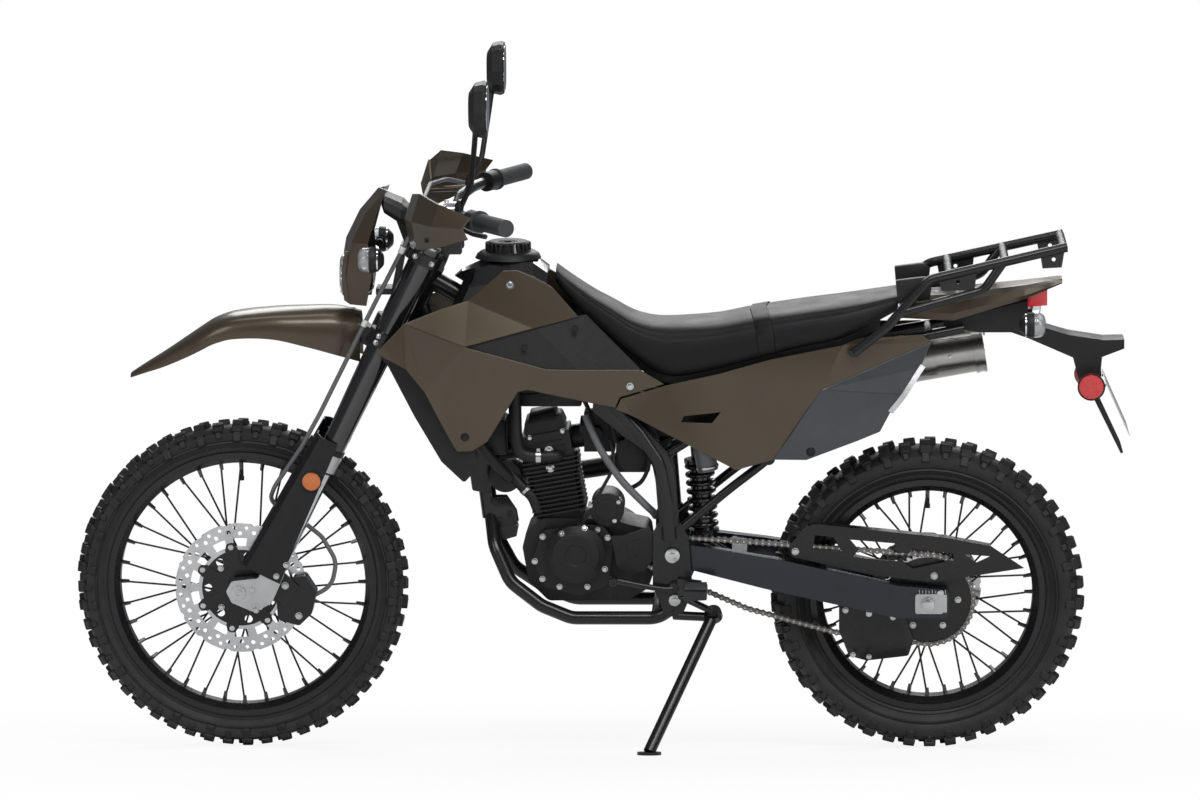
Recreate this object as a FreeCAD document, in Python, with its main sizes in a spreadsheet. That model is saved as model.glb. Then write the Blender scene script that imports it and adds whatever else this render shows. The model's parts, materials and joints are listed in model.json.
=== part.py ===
import FreeCAD, Part
import math
import os
import re
import Sketcher
from FreeCAD import Placement, Rotation, Vector

# Dual sport motorcycle, in millimetres. It is drawn upright: X forward from the rear axle, Y to the left, Z up
# from the ground. The last section leans it on its side stand and moves the origin under its middle.

SIZES = {
    # stance
    "wheelbase": 1380,
    "rake_angle": 26,
    "lean_angle": 10,
    "axle_lead": 65,
    "fork_offset": 20,
    "fork_spread": 88,
    "steering_lock": 42,
    "moving_gap": 6,
    "running_gap": 0.3,
    "fitting_gap": 0.3,
    # front wheel
    "front_tyre_radius": 335,
    "front_tyre_half_width": 40,
    "front_crown_half_width": 13,
    "front_rim_radius": 271,
    "front_rim_inner": 248,
    "front_rim_half_width": 27,
    "front_hub_radius": 24,
    "front_flange_radius": 42,
    "front_flange_offset": 28,
    "front_hub_half_width": 58,
    "front_axle_radius": 8,
    "front_disc_radius": 132,
    "front_disc_hole": 78,
    "front_disc_offset": 52,
    "front_star_radius": 66,
    # rear wheel
    "rear_tyre_radius": 315,
    "rear_tyre_half_width": 55,
    "rear_crown_half_width": 19,
    "rear_rim_radius": 236,
    "rear_rim_inner": 211,
    "rear_rim_half_width": 34,
    "rear_hub_radius": 30,
    "rear_flange_radius": 52,
    "rear_flange_offset": 32,
    "rear_hub_half_width": 80,
    "rear_axle_radius": 8.5,
    "rear_disc_radius": 110,
    "rear_disc_hole": 62,
    "rear_disc_offset": 62,
    # both wheels
    "axle_bore_radius": 4.5,
    "axle_boss_radius": 16,
    "flange_thickness": 5,
    "disc_thickness": 4,
    "disc_hole_radius": 3.5,
    "rim_wall": 12,
    "rim_lip": 3,
    "lug_rows": 32,
    "lug_depth": 9,
    "spoke_radius": 2,
    "spokes_a_side": 18,
    # drive
    "chain_pitch": 12.7,
    "rear_teeth": 45,
    "front_teeth": 14,
    "chain_offset": 72,
    "chain_half_width": 9,
    "chain_half_height": 6,
    "chain_waists": 60,
    "sprocket_thickness": 7,
    "front_sprocket_reach": 573,
    "front_sprocket_height": 420,
    "guard_thickness": 4,
    # swingarm
    "pivot_reach": 510,
    "pivot_height": 414,
    "pivot_tube_radius": 20,
    "pivot_bolt_radius": 8,
    "swingarm_inner": 88,
    "swingarm_outer": 114,
    "swingarm_height": 66,
    # fork
    "stem_radius": 15,
    "head_tube_radius": 27,
    "lower_clamp_height": 575,
    "lower_clamp_thickness": 30,
    "upper_clamp_height": 762,
    "upper_clamp_thickness": 22,
    "clamp_wall": 9,
    "yoke_depth": 44,
    "fork_top": 795,
    "outer_tube_radius": 27,
    "outer_tube_foot_radius": 23.5,
    "outer_tube_foot": 336,
    "collar_length": 36,
    "inner_tube_radius": 20.5,
    "inner_tube_foot": 40,
    "hose_radius": 4.5,
    # bars
    "bar_radius": 11,
    "grip_radius": 17,
    "grip_length": 122,
    "housing_length": 34,
    "mirror_height": 110,
    "mirror_stalk_radius": 5.5,
    # frame
    "frame_tube_radius": 16,
    "backbone_radius": 20,
    "cradle_tube_radius": 13.5,
    "down_tube_radius": 17,
    "subframe_tube_radius": 10,
    "pivot_plate_inner": 100,
    "pivot_plate_thickness": 12,
    # engine
    "case_half_width": 62,
    "generator_radius": 58,
    "generator_reach": 120,
    "clutch_radius": 72,
    "clutch_reach": 130,
    "starter_radius": 34,
    "cylinder_tilt": 10,
    "cylinder_height": 96,
    "fin_thickness": 3,
    "fin_pitch": 9,
    "header_radius": 19,
    "muffler_radius": 51,
    "muffler_offset": 158,
    "muffler_length": 350,
    "muffler_slope": 9,
    "outlet_radius": 17,
    # bodywork and fittings
    "panel_thickness": 4,
    "cap_radius": 44,
    "rack_tube_radius": 9.5,
    "rack_boss_radius": 8,
    "rack_foot_reach": 150,
    "rack_foot_height": 825,
    "rack_hole_radius": 4,
    "rack_tab_thickness": 4,
    "peg_length": 85,
    "plate_half_width": 85,
    # side stand
    "stand_tube_radius": 12,
    "stand_pivot_reach": 428,
    "stand_pivot_height": 298,
    "stand_pivot_offset": 137,
    "stand_forward": 125,
    "stand_outward": 181,
    "stand_foot_radius": 24,
    "stand_foot_thickness": 6,
    "stand_pin_radius": 5,
    "knuckle_radius": 17,
    "knuckle_half_width": 9,
    "ear_thickness": 6,
}

doc = FreeCAD.newDocument("dual_sport_motorcycle")
sheet = doc.addObject("Spreadsheet::Sheet", "sizes")
for row, (word, value) in enumerate(SIZES.items(), start=1):
    sheet.set("A%d" % row, word)
    sheet.set("B%d" % row, str(value))
    sheet.setAlias("B%d" % row, word)
doc.recompute()


class Measures:
    """reads a size of the sheet by its name"""

    def __getattr__(self, name):
        return float(getattr(sheet, name))


s = Measures()
TERM = re.compile(r"([+-]?)\s*([A-Za-z_]\w*|\d+(?:\.\d+)?)(?:/(\d+))?")
UP = Vector(0, 0, 1)
ACROSS = Vector(0, 1, 0)


def amount(text):
    """value of a sum of sizes and numbers, such as 'rim_radius-11'"""
    total = 0.0
    for sign, word, divisor in TERM.findall(text):
        part = float(word) if word[0].isdigit() else getattr(s, word)
        total += (-part if sign == "-" else part) / float(divisor or 1)
    return total


def bound(text):
    """the same sum as the sheet names it"""
    return re.sub(r"([A-Za-z_]\w*)", r"sizes.\1", text)


def minus(text):
    """the same sum with its sign turned"""
    turned_over = text.replace("-", "~").replace("+", "-").replace("~", "+")
    return turned_over[1:] if turned_over.startswith("+") else "-" + turned_over


# Frames of the upright machine
RAKE = math.radians(s.rake_angle)
FRONT_AXLE = Vector(s.wheelbase, 0, s.front_tyre_radius)
REAR_AXLE = Vector(0, 0, s.rear_tyre_radius)
FORK_FOOT = FRONT_AXLE - Vector(math.cos(RAKE), 0, math.sin(RAKE)) * s.axle_lead
BIKE = Placement()
FORK = Placement(FORK_FOOT, Rotation(ACROSS, -s.rake_angle))
FRONT_WHEEL = Placement(FRONT_AXLE, Rotation())
REAR_WHEEL = Placement(REAR_AXLE, Rotation())
UPPER_CLAMP = Placement(FORK.multVec(UP * (s.upper_clamp_height + s.upper_clamp_thickness)), Rotation())
LOWER_CLAMP = Placement(FORK.multVec(UP * s.lower_clamp_height), Rotation())
CYLINDER = Placement(Vector(735, 0, 478), Rotation(ACROSS, s.cylinder_tilt))

PIECES = {}


def keep(piece, label):
    """names a finished sub-part"""
    piece.Label = label
    PIECES[label] = piece
    return piece


def formed(label, shape, frame=BIKE):
    """a sub-part whose shape is made by code from the sizes"""
    piece = doc.addObject("Part::Feature", label)
    piece.Shape = shape
    piece.Placement = frame.multiply(shape.Placement)
    return keep(piece, label)


def shape_of(label):
    """shape of a finished sub-part, in the upright machine"""
    piece = PIECES[label]
    if piece.TypeId != "Part::Feature":
        doc.recompute()
    return piece.Shape.copy()


def plane_of(body, role):
    return next(item for item in body.Origin.OriginFeatures if item.Role == role)


def outline_sketch(body, name, role, corners):
    """closed outline whose corners are held by sums of sizes"""
    sketch = body.newObject("Sketcher::SketchObject", name)
    sketch.AttachmentSupport = [(plane_of(body, role), "")]
    sketch.MapMode = "FlatFace"
    places = [Vector(amount(across), amount(up), 0) for across, up in corners]
    count = len(places)
    for i in range(count):
        sketch.addGeometry(Part.LineSegment(places[i], places[(i + 1) % count]), False)
    for i in range(count):
        sketch.addConstraint(Sketcher.Constraint("Coincident", i, 2, (i + 1) % count, 1))
    for i, (across, up) in enumerate(corners):
        for kind, text, value in (("DistanceX", across, places[i].x), ("DistanceY", up, places[i].y)):
            index = sketch.addConstraint(Sketcher.Constraint(kind, -1, 1, i, 1, value))
            if re.search("[a-z]", text):
                sketch.setExpression("Constraints[%d]" % index, bound(text))
    return sketch


def turned(label, frame, corners):
    """a piece turned about its Y axis from corners given as radius and offset"""
    body = doc.addObject("PartDesign::Body", label)
    sketch = outline_sketch(body, label + "_profile", "XY_Plane", corners)
    turn = body.newObject("PartDesign::Revolution", label + "_turn")
    turn.Profile = sketch
    turn.ReferenceAxis = (sketch, ["V_Axis"])
    turn.Angle = 360
    body.Placement = frame
    return keep(body, label)


def rounded_path(points, radius, closed=False):
    """straight runs joined by tangent arcs"""
    count = len(points)
    arcs = {}
    for i in range(count) if closed else range(1, count - 1):
        here = points[i]
        back = points[i - 1] - here
        ahead = points[(i + 1) % count] - here
        turn = math.pi - back.getAngle(ahead)
        reach = min(radius * math.tan(turn / 2), 0.45 * min(back.Length, ahead.Length))
        if reach < 0.05:
            continue
        true_radius = reach / math.tan(turn / 2)
        back.normalize()
        ahead.normalize()
        inward = back + ahead
        inward.normalize()
        middle = here + inward * (true_radius / math.cos(turn / 2) - true_radius)
        arcs[i] = (here + back * reach, middle, here + ahead * reach)
    edges = []
    order = list(range(count)) + ([0] if closed else [])
    for i, j in zip(order[:-1], order[1:]):
        start = arcs[i][2] if i in arcs else points[i]
        end = arcs[j][0] if j in arcs else points[j]
        if (end - start).Length > 0.01:
            edges.append(Part.LineSegment(start, end).toShape())
        if j in arcs:
            edges.append(Part.Arc(*arcs[j]).toShape())
    return Part.Wire(edges)


def tube(points, radius, bend=60):
    """round bar along a bent path"""
    path = rounded_path(points, bend)
    ring = Part.Wire(Part.makeCircle(radius, points[0], points[1] - points[0]))
    return path.makePipeShell([ring], True, True)


def rod(start, end, radius):
    return Part.makeCylinder(radius, (end - start).Length, start, end - start)


def drum(radius, near, far, x=0.0, z=0.0):
    """cylinder across the machine, between two distances from its middle plane"""
    return Part.makeCylinder(radius, abs(far - near), Vector(x, min(near, far), z), ACROSS)


def slab(outline, near, far, rounding=0):
    """side-view outline of (x, z) pairs between two distances from the middle plane"""
    corners = [Vector(x, near, z) for x, z in outline]
    wire = rounded_path(corners, rounding, True) if rounding else Part.makePolygon(corners + corners[:1])
    return Part.Face(wire).extrude(ACROSS * (far - near))


def lofted(sections):
    return Part.makeLoft([Part.makePolygon(list(ring) + [ring[0]]) for ring in sections], True, True)


def crowned(stations):
    """body lofted along X from stations of (x, half width, bottom z, top z)"""
    sections = []
    for x, half, low, high in stations:
        tall = high - low
        side = [(half * 0.9, low), (half, low + 0.3 * tall), (half * 0.93, low + 0.72 * tall),
                (half * 0.62, low + 0.95 * tall), (0, high)]
        ring = side + [(-y, z) for y, z in reversed(side[:-1])]
        sections.append([Vector(x, y, z) for y, z in ring])
    return lofted(sections)


def arched(stations, wall):
    """open arch lofted along X from stations of (x, half width, skirt z, ridge z)"""
    sections = []
    for x, half, skirt, ridge in stations:
        drop = ridge - skirt
        outer = [(half, skirt), (half * 0.93, skirt + 0.55 * drop), (half * 0.6, skirt + 0.9 * drop), (0, ridge)]
        inner = [(half - wall, skirt), (half * 0.93 - wall, skirt + 0.55 * drop - wall / 2),
                 (half * 0.6 - wall / 2, skirt + 0.9 * drop - wall), (0, ridge - wall)]
        ring = outer + [(-y, z) for y, z in reversed(outer[:-1])]
        ring += [(-y, z) for y, z in inner]
        ring += [(y, z) for y, z in reversed(inner[:-1])]
        sections.append([Vector(x, y, z) for y, z in ring])
    return lofted(sections)


def folded(points, faces, side=1):
    """panel of flat facets, its thickness measured across the machine"""
    prisms = []
    for face in faces:
        corners = [Vector(points[name][0], side * points[name][1], points[name][2]) for name in face]
        flat = Part.Face(Part.makePolygon(corners + corners[:1]))
        prisms.append(flat.extrude(ACROSS * (-side * s.panel_thickness)))
    return prisms[0].multiFuse(prisms[1:]).removeSplitter()


def mirrored(shape):
    return shape.mirror(Vector(0, 0, 0), ACROSS)


def pair(shape):
    """a shape and its twin on the other side, as solids that don't touch"""
    return Part.makeCompound([shape, mirrored(shape)])


# Wheels
def make_spokes(name):
    rim_end = getattr(s, name + "_rim_inner") - 0.9
    hub_end = getattr(s, name + "_flange_radius") + 0.9
    flange_middle = getattr(s, name + "_flange_offset") + s.flange_thickness / 2
    count = int(s.spokes_a_side)
    spokes = []
    for side in (1, -1):
        for i in range(count):
            lean = 1 if i % 2 else -1
            turn = 2 * math.pi * (i + (0.5 if side > 0 else 0)) / count
            sweep = turn + lean * math.radians(32)
            shift = lean * (s.spoke_radius + 1)
            start = Vector(hub_end * math.cos(sweep), side * flange_middle + shift, hub_end * math.sin(sweep))
            end = Vector(rim_end * math.cos(turn), side * 8 + shift, rim_end * math.sin(turn))
            spokes.append(rod(start, end, s.spoke_radius))
    return Part.makeCompound(spokes)


def make_tyre(name):
    """knobbly tyre of flat facets: lugs at both shoulders, and between them along the crown"""
    rim, wide = getattr(s, name + "_rim_radius"), getattr(s, name + "_rim_half_width")
    tyre, spread = getattr(s, name + "_tyre_radius"), getattr(s, name + "_tyre_half_width")
    crown = getattr(s, name + "_crown_half_width")
    floor = tyre - s.lug_depth
    half = [(rim - 11 + s.fitting_gap, wide - 3 - s.rim_lip), (rim + s.fitting_gap, wide - s.rim_lip - 1),
            (rim + 5, wide + 3), (tyre - 36, spread), (tyre - 25, spread - 2), (floor - 6, crown + 10),
            (floor, crown + 1)]
    carcass = half + [(radius, -y) for radius, y in reversed(half)]
    tips = {4: (tyre - 19, spread - 3), 5: (tyre - 6, crown + 12), 6: (tyre, crown)}
    tips.update({13 - i: (radius, -y) for i, (radius, y) in list(tips.items())})
    arcs = 2 * int(s.lug_rows)
    step = 2 * math.pi / arcs

    def corner(place, k):
        radius = place[0] / math.cos(step / 2)
        turn = (k - 0.5) * step - math.pi / 2
        return Vector(radius * math.cos(turn), place[1], radius * math.sin(turn))

    def facet(near, far, k):
        ring = [corner(near, k), corner(far, k), corner(far, k + 1), corner(near, k + 1)]
        return Part.Face(Part.makePolygon(ring + ring[:1]))

    faces = []
    for k in range(arcs):
        raised = (4, 8) if k % 2 else (6,)
        for i in range(14):
            j = (i + 1) % 14
            if i not in raised:
                faces.append(facet(carcass[i], carcass[j], k))
                continue
            faces += [facet(tips[i], tips[j], k), facet(carcass[i], tips[i], k), facet(tips[j], carcass[j], k)]
            for end in (k, k + 1):
                ring = [corner(place, end) for place in (carcass[i], carcass[j], tips[j], tips[i])]
                faces.append(Part.Face(Part.makePolygon(ring + ring[:1])))
    shell = Part.makeShell(faces)
    shell.sewShape()
    solid = Part.makeSolid(Part.Shell(shell.Faces))
    if solid.Volume < 0:
        solid.reverse()
    return solid


def make_wheel(name, frame):
    rim, inner, wide = name + "_rim_radius", name + "_rim_inner", name + "_rim_half_width"
    half = [(rim + "-rim_wall", wide), (rim, wide), (rim, wide + "-rim_lip"),
            (rim + "-11", wide + "-2-rim_lip")]
    other = [(radius, minus(offset)) for radius, offset in reversed(half)]
    turned(name + "_rim", frame, half + other + [(inner, minus(wide + "/2")), (inner, wide + "/2")])

    formed(name + "_tyre", make_tyre(name), frame)

    barrel, flange, at = name + "_hub_radius", name + "_flange_radius", name + "_flange_offset"
    width = name + "_hub_half_width"
    bore = name + "_axle_radius+running_gap"
    half = [(bore, width), ("axle_boss_radius", width), ("axle_boss_radius", at + "+flange_thickness+6"),
            (barrel, at + "+flange_thickness+6"), (barrel, at + "+flange_thickness"),
            (flange, at + "+flange_thickness"), (flange, at), (barrel, at)]
    other = [(radius, minus(offset)) for radius, offset in reversed(half)]
    turned(name + "_hub", frame, half + other)
    formed(name + "_spokes", make_spokes(name), frame)


def waved_ring(outer, hole):
    """brake disc with a waved edge"""
    ring = drum(outer, 0, s.disc_thickness).cut(drum(hole, 0, s.disc_thickness))
    bites = []
    for i in range(14):
        turn = 2 * math.pi * i / 14
        reach = outer + 6
        bites.append(drum(9, 0, s.disc_thickness, reach * math.cos(turn), reach * math.sin(turn)))
        for row, swing in ((0.36, 0.5), (0.68, 0.05)):
            at = turn + swing * 2 * math.pi / 14
            reach_in = hole + (outer - hole) * row
            bites.append(drum(s.disc_hole_radius, 0, s.disc_thickness, reach_in * math.cos(at),
                              reach_in * math.sin(at)))
    return ring.cut(Part.makeCompound(bites))


def pitch_radius(teeth):
    return s.chain_pitch / 2 / math.sin(math.pi / teeth)


def sprocket(teeth, hole):
    """toothed wheel, with a tooth between each two rollers"""
    corners = []
    for i in range(int(teeth)):
        turn = 2 * math.pi * i / teeth
        for swing, height in ((-1.3, -4), (-0.5, 3), (0.5, 3)):
            at = turn + swing * math.pi / teeth / 2
            radius = pitch_radius(teeth) + height
            corners.append(Vector(radius * math.cos(at), 0, radius * math.sin(at)))
    blank = Part.Face(Part.makePolygon(corners + corners[:1])).extrude(ACROSS * s.sprocket_thickness)
    return blank.cut(drum(hole, 0, s.sprocket_thickness))


def make_brake_discs():
    boss = s.axle_boss_radius + s.fitting_gap
    at = s.front_disc_offset
    flange = s.front_flange_offset + s.flange_thickness
    disc = waved_ring(s.front_disc_radius, s.front_disc_hole)
    star = drum(s.front_disc_hole, 0, s.disc_thickness).cut(drum(boss, 0, s.disc_thickness))
    for i in range(7):
        turn = 2 * math.pi * i / 7
        x, z = s.front_star_radius * math.cos(turn), s.front_star_radius * math.sin(turn)
        star = star.cut(drum(8, 0, s.disc_thickness, x, z))
    disc = disc.fuse(star)
    disc.translate(ACROSS * at)
    hat = drum(s.front_flange_radius, flange, at).cut(drum(s.front_hub_radius + s.fitting_gap, flange, at))
    formed("front_brake_disc", disc.fuse(hat), FRONT_WHEEL)

    at = s.rear_disc_offset
    flange = s.rear_flange_offset + s.flange_thickness
    disc = waved_ring(s.rear_disc_radius, s.rear_disc_hole)
    disc = disc.fuse(drum(s.rear_disc_hole, 0, s.disc_thickness).cut(drum(boss, 0, s.disc_thickness)))
    disc.translate(ACROSS * (-at - s.disc_thickness))
    hat = drum(s.rear_flange_radius, -at, -flange).cut(drum(s.rear_hub_radius + s.fitting_gap, -at, -flange))
    formed("rear_brake_disc", disc.fuse(hat), REAR_WHEEL)


def make_rear_sprocket():
    near = s.chain_offset - s.sprocket_thickness / 2
    flange = s.rear_flange_offset + s.flange_thickness
    wheel = sprocket(s.rear_teeth, s.axle_boss_radius + s.fitting_gap)
    wheel.translate(ACROSS * near)
    seat = drum(s.rear_flange_radius, flange, near).cut(drum(s.rear_hub_radius + s.fitting_gap, flange, near))
    formed("rear_sprocket", wheel.fuse(seat), REAR_WHEEL)


# Steering, drawn along the steering axis: X forward of it, Z up along it from the level of the axle
def fork_clamp(base, height):
    """yoke that holds both legs and the stem"""
    x, spread = s.fork_offset, s.fork_spread
    yoke = Part.makeBox(s.yoke_depth + 26, 2 * spread, height, Vector(x - s.yoke_depth, -spread, base))
    rings = [Part.makeCylinder(s.outer_tube_radius + s.clamp_wall, height, Vector(x, y, base), UP)
             for y in (-spread, spread)]
    bores = [Part.makeCylinder(s.outer_tube_radius, height, Vector(x, y, base), UP) for y in (-spread, spread)]
    return yoke.fuse(rings).cut(Part.makeCompound(bores))


def make_fork():
    lower, upper = s.lower_clamp_height, s.upper_clamp_height
    stem = Part.makeCylinder(s.stem_radius, upper - lower, UP * lower, UP)
    bracket = slab([(30, 4), (66, -4), (82, -84), (124, -84), (124, -72), (92, -72), (74, 16), (30, 22)], -30, 30)
    bracket.Placement = FORK.inverse().multiply(UPPER_CLAMP)
    fender_plate = slab([(10, -2), (10, 16), (60, 44), (112, 44), (112, 34), (74, 10), (50, -2)], -24, 24)
    fender_plate.Placement = FORK.inverse().multiply(LOWER_CLAMP)
    clamps = fork_clamp(lower, s.lower_clamp_thickness).fuse(
        [fork_clamp(upper, s.upper_clamp_thickness), stem, bracket, fender_plate])
    bores = [Part.makeCylinder(s.outer_tube_radius, 300, Vector(s.fork_offset, y, lower - 20), UP)
             for y in (-s.fork_spread, s.fork_spread)]
    formed("fork_clamps", clamps.cut(Part.makeCompound(bores)), FORK)

    leg = Vector(s.fork_offset, s.fork_spread, 0)
    foot, shoulder = s.outer_tube_foot, lower - 40
    straight = Part.makeCylinder(s.outer_tube_radius, s.fork_top - shoulder, leg + UP * shoulder, UP)
    taper = Part.makeCone(s.outer_tube_foot_radius, s.outer_tube_radius, shoulder - foot, leg + UP * foot, UP)
    formed("fork_outer_tubes", pair(straight.fuse(taper)), FORK)

    collar = Part.makeCylinder(s.outer_tube_foot_radius + 2.5, s.collar_length,
                               leg + UP * (foot - s.collar_length), UP)
    inner = Part.makeCylinder(s.inner_tube_radius, foot - s.inner_tube_foot, leg + UP * s.inner_tube_foot, UP)
    near = s.fork_spread - s.inner_tube_radius + 2
    far = s.fork_spread + s.inner_tube_radius
    x, lead = s.fork_offset, s.axle_lead
    holder = slab([(x - 22, 78), (x - 24, 10), (x, -22), (lead + 4, -24), (lead + 24, -8), (lead + 22, 16),
                   (x + 22, 44), (x + 22, 78)], near, far, 8)
    lower_leg = collar.fuse([inner, holder]).cut(drum(s.front_axle_radius, near - 9, far + 9, lead))
    formed("fork_lower_legs", pair(lower_leg), FORK)

    axle = drum(s.front_axle_radius, -far - 8, far + 8, lead)
    for side in (1, -1):
        axle = axle.fuse(drum(14, side * (s.front_hub_half_width + s.running_gap), side * near, lead))
        axle = axle.fuse(drum(13, side * far, side * (far + 6), lead))
    formed("front_axle", axle.cut(drum(s.axle_bore_radius, -far - 9, far + 9, lead)), FORK)
    make_fork_guards()
    make_front_caliper()


def make_fork_guards():
    """shields in front of and outside the lower legs"""
    wall = 3
    rings = []
    for h, front, back, out in ((56, 84, -2, 34), (130, 78, 4, 34), (362, 62, 14, 33)):
        outer = [(back, out), (s.fork_offset + 18, out), (front - 10, out * 0.8), (front, out * 0.25),
                 (front, 9 - out)]
        inner = [(back, out - wall), (s.fork_offset + 18, out - wall), (front - 12, out * 0.8 - wall),
                 (front - wall, out * 0.25), (front - wall, 9 - out)]
        rings.append([Vector(x, s.fork_spread + y, h) for x, y in outer + inner[::-1]])
    guard = lofted(rings)
    lug = Part.makeBox(18, 19, 10, Vector(s.fork_offset, s.fork_spread + s.inner_tube_radius - 6, 62))
    guard = guard.fuse(lug)
    tools = shape_of("fork_lower_legs")
    tools.Placement = FORK.inverse().multiply(tools.Placement)
    formed("fork_guards", pair(guard).cut(tools), FORK)


def make_front_caliper():
    """caliper over the rear edge of the disc, on its arm from the left leg"""
    middle = s.front_disc_offset + s.disc_thickness / 2
    body = slab([(-76, 62), (-40, 84), (-22, 70), (-12, 10), (-30, -22), (-74, -14), (-86, 20)],
                middle - 20, middle + 24, 8)
    arm = slab([(-40, 60), (8, 74), (8, 20), (-30, 10)], s.fork_spread - 14, s.fork_spread - 4, 3)
    body = body.fuse(arm)
    slot = drum(s.front_disc_radius + 5, middle - 5, middle + 5, s.axle_lead)
    legs = shape_of("fork_lower_legs")
    legs.Placement = FORK.inverse().multiply(legs.Placement)
    formed("front_caliper", body.cut(slot).cut(legs), FORK)


# Pieces carried by the upper clamp, drawn level: X forward and Z up from the top of the upper clamp
BAR_LINE = [(-29, 0, 66), (-29, 62, 66), (-38, 135, 92), (-58, 205, 100), (-78, 262, 101), (-155, 404, 104)]


def make_bars():
    line = [Vector(*place) for place in BAR_LINE]
    half = tube(line, s.bar_radius, 70)
    risers = [slab([(-50, 0), (-46, 84), (-12, 84), (-8, 0)], y - 11, y + 11, 4) for y in (-40, 40)]
    formed("handlebar", half.fuse([mirrored(half)] + risers), UPPER_CLAMP)

    along = line[-1] - line[-2]
    along.normalize()
    grip_start = line[-1] - along * (s.grip_length - 4)
    core = Part.makeCylinder(s.bar_radius, 600, line[-1] - along * 600, along)
    grip = Part.makeCylinder(s.grip_radius, s.grip_length, grip_start, along)
    collar = Part.makeCylinder(s.grip_radius + 5, 6, grip_start, along)
    formed("grips", pair(grip.fuse(collar).cut(core)), UPPER_CLAMP)
    box_start = grip_start - along * (s.housing_length + 2)
    box = Part.makeCylinder(s.grip_radius + 3, s.housing_length, box_start, along)
    perch = rod(box_start + along * 12, box_start + along * 12 + Vector(30, 14, -10), 8)
    lever = tube([box_start + along * 12 + Vector(24, 11, -8), box_start + along * 40 + Vector(34, 12, -12),
                  box_start + along * 95 + Vector(36, 10, -16), box_start + along * 158 + Vector(40, 10, -14)], 5, 30)
    formed("hand_controls", pair(box.fuse([perch, lever]).cut(core)), UPPER_CLAMP)

    sections = []
    for y, front, top, low in ((208, 34, 116, 60), (250, 40, 150, 52), (320, 22, 160, 50), (380, -20, 146, 62),
                               (417, -80, 126, 84)):
        outer = [(front, low), (front + 10, (low + top) / 2), (front - 6, top)]
        inner = [(x - s.panel_thickness, z) for x, z in reversed(outer)]
        sections.append([Vector(x, y, z) for x, z in outer + inner])
    shield = lofted(sections)
    arm = tube([Vector(-58, 200, 100), Vector(-10, 208, 96), Vector(43, 224, 92)], 6, 30)
    shield = shield.fuse(arm)
    bar = shape_of("handlebar")
    bar.Placement = UPPER_CLAMP.inverse().multiply(bar.Placement)
    formed("hand_guards", pair(shield).cut(bar), UPPER_CLAMP)

    stalk = tube([Vector(-52, 186, 104), Vector(-78, 196, 160), Vector(-90, 272, 250), Vector(-96, 318, 300)],
                 s.mirror_stalk_radius, 40)
    head = Vector(-100, 336, 327)
    rings = []
    for x, grow in ((-18, 0.96), (-12, 1.0), (4, 0.94), (16, 0.6)):
        ring = []
        for i in range(16):
            turn = 2 * math.pi * i / 16
            wide = 66 * grow * math.copysign(abs(math.cos(turn)) ** 0.7, math.cos(turn))
            tall = s.mirror_height / 2 * grow * math.copysign(abs(math.sin(turn)) ** 0.7, math.sin(turn))
            ring.append(head + Vector(x, wide, tall))
        rings.append(ring)
    formed("mirrors", pair(lofted(rings).fuse(stalk)).cut(bar), UPPER_CLAMP)


def make_headlight():
    wall = s.panel_thickness
    rings = []
    for z, front, back, wide in ((-100, 190, 140, 74), (-40, 196, 128, 84), (28, 184, 134, 96), (84, 156, 118, 74),
                                 (128, 118, 98, 52)):
        outer = [(back, wide), (front - 16, wide * 0.72), (front, 0), (front - 16, -wide * 0.72), (back, -wide)]
        inner = [(back, wide - wall), (front - 16 - wall, wide * 0.72 - wall), (front - wall, 0),
                 (front - 16 - wall, wall - wide * 0.72), (back, wall - wide)]
        rings.append([Vector(x, y, z) for x, y in outer + inner[::-1]])
    lamp_half, low, high = 46, -90, -2
    opening = Part.makeBox(120, 2 * lamp_half, high - low, Vector(110, -lamp_half, low))
    lamp = crowned([(124.3, 36, -80, -12), (150, lamp_half - 1, low + 1, high - 1),
                    (192, lamp_half - 1, low + 1, high - 1), (203, 36, low + 8, high - 10)])
    mask = lofted(rings).cut(opening)
    formed("headlight_mask", mask, UPPER_CLAMP)
    formed("headlamp", lamp, UPPER_CLAMP)
    meter = crowned([(58, 54, 58, 92), (70, 62, 62, 104), (104, 58, 84, 118), (110, 40, 96, 112)])
    stay = slab([(46, 10), (62, 8), (84, 70), (66, 70)], -22, 22)
    clamps = shape_of("fork_clamps")
    clamps.Placement = UPPER_CLAMP.inverse().multiply(clamps.Placement)
    formed("instrument_box", meter.fuse(stay).cut(mask).cut(clamps), UPPER_CLAMP)
    signal = round_signal(Vector(99, 140, 3), 1)
    stem = drum(8, 80, 130, 124, 3)
    formed("front_turn_signals", pair(signal.fuse(stem)).cut(mask), UPPER_CLAMP)


def round_signal(start, way):
    """round housing with a domed lens at the end it looks to"""
    ahead = Vector(way, 0, 0)
    back = Part.makeCone(13, 26, 16, start, ahead)
    middle = Part.makeCylinder(26, 22, start + ahead * 16, ahead)
    dome = Part.makeCone(23, 15, 14, start + ahead * 38, ahead)
    return back.fuse([middle, dome])


HOSE_LINE = [(921, -293, 1102), (975, -262, 1120), (1002, -150, 1125), (1004, 20, 1120), (1006, 101, 1085),
             (1034, 97, 1046), (1111, 96, 898), (1212, 95, 698), (1251, 94, 628), (1306, 84, 548), (1320, 56, 512),
             (1262, 55, 478), (1215, 56, 440), (1186, 60, 390), (1196, 61, 340), (1240, 61, 316)]


def make_brake_hose():
    """from the right lever across the bars, down before the left leg and round behind it to the caliper"""
    hose = tube([Vector(*place) for place in HOSE_LINE], s.hose_radius, 45)
    hose = hose.cut(shape_of("hand_controls")).cut(shape_of("front_caliper"))
    formed("brake_hose", max(hose.Solids, key=lambda solid: solid.Volume))


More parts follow.
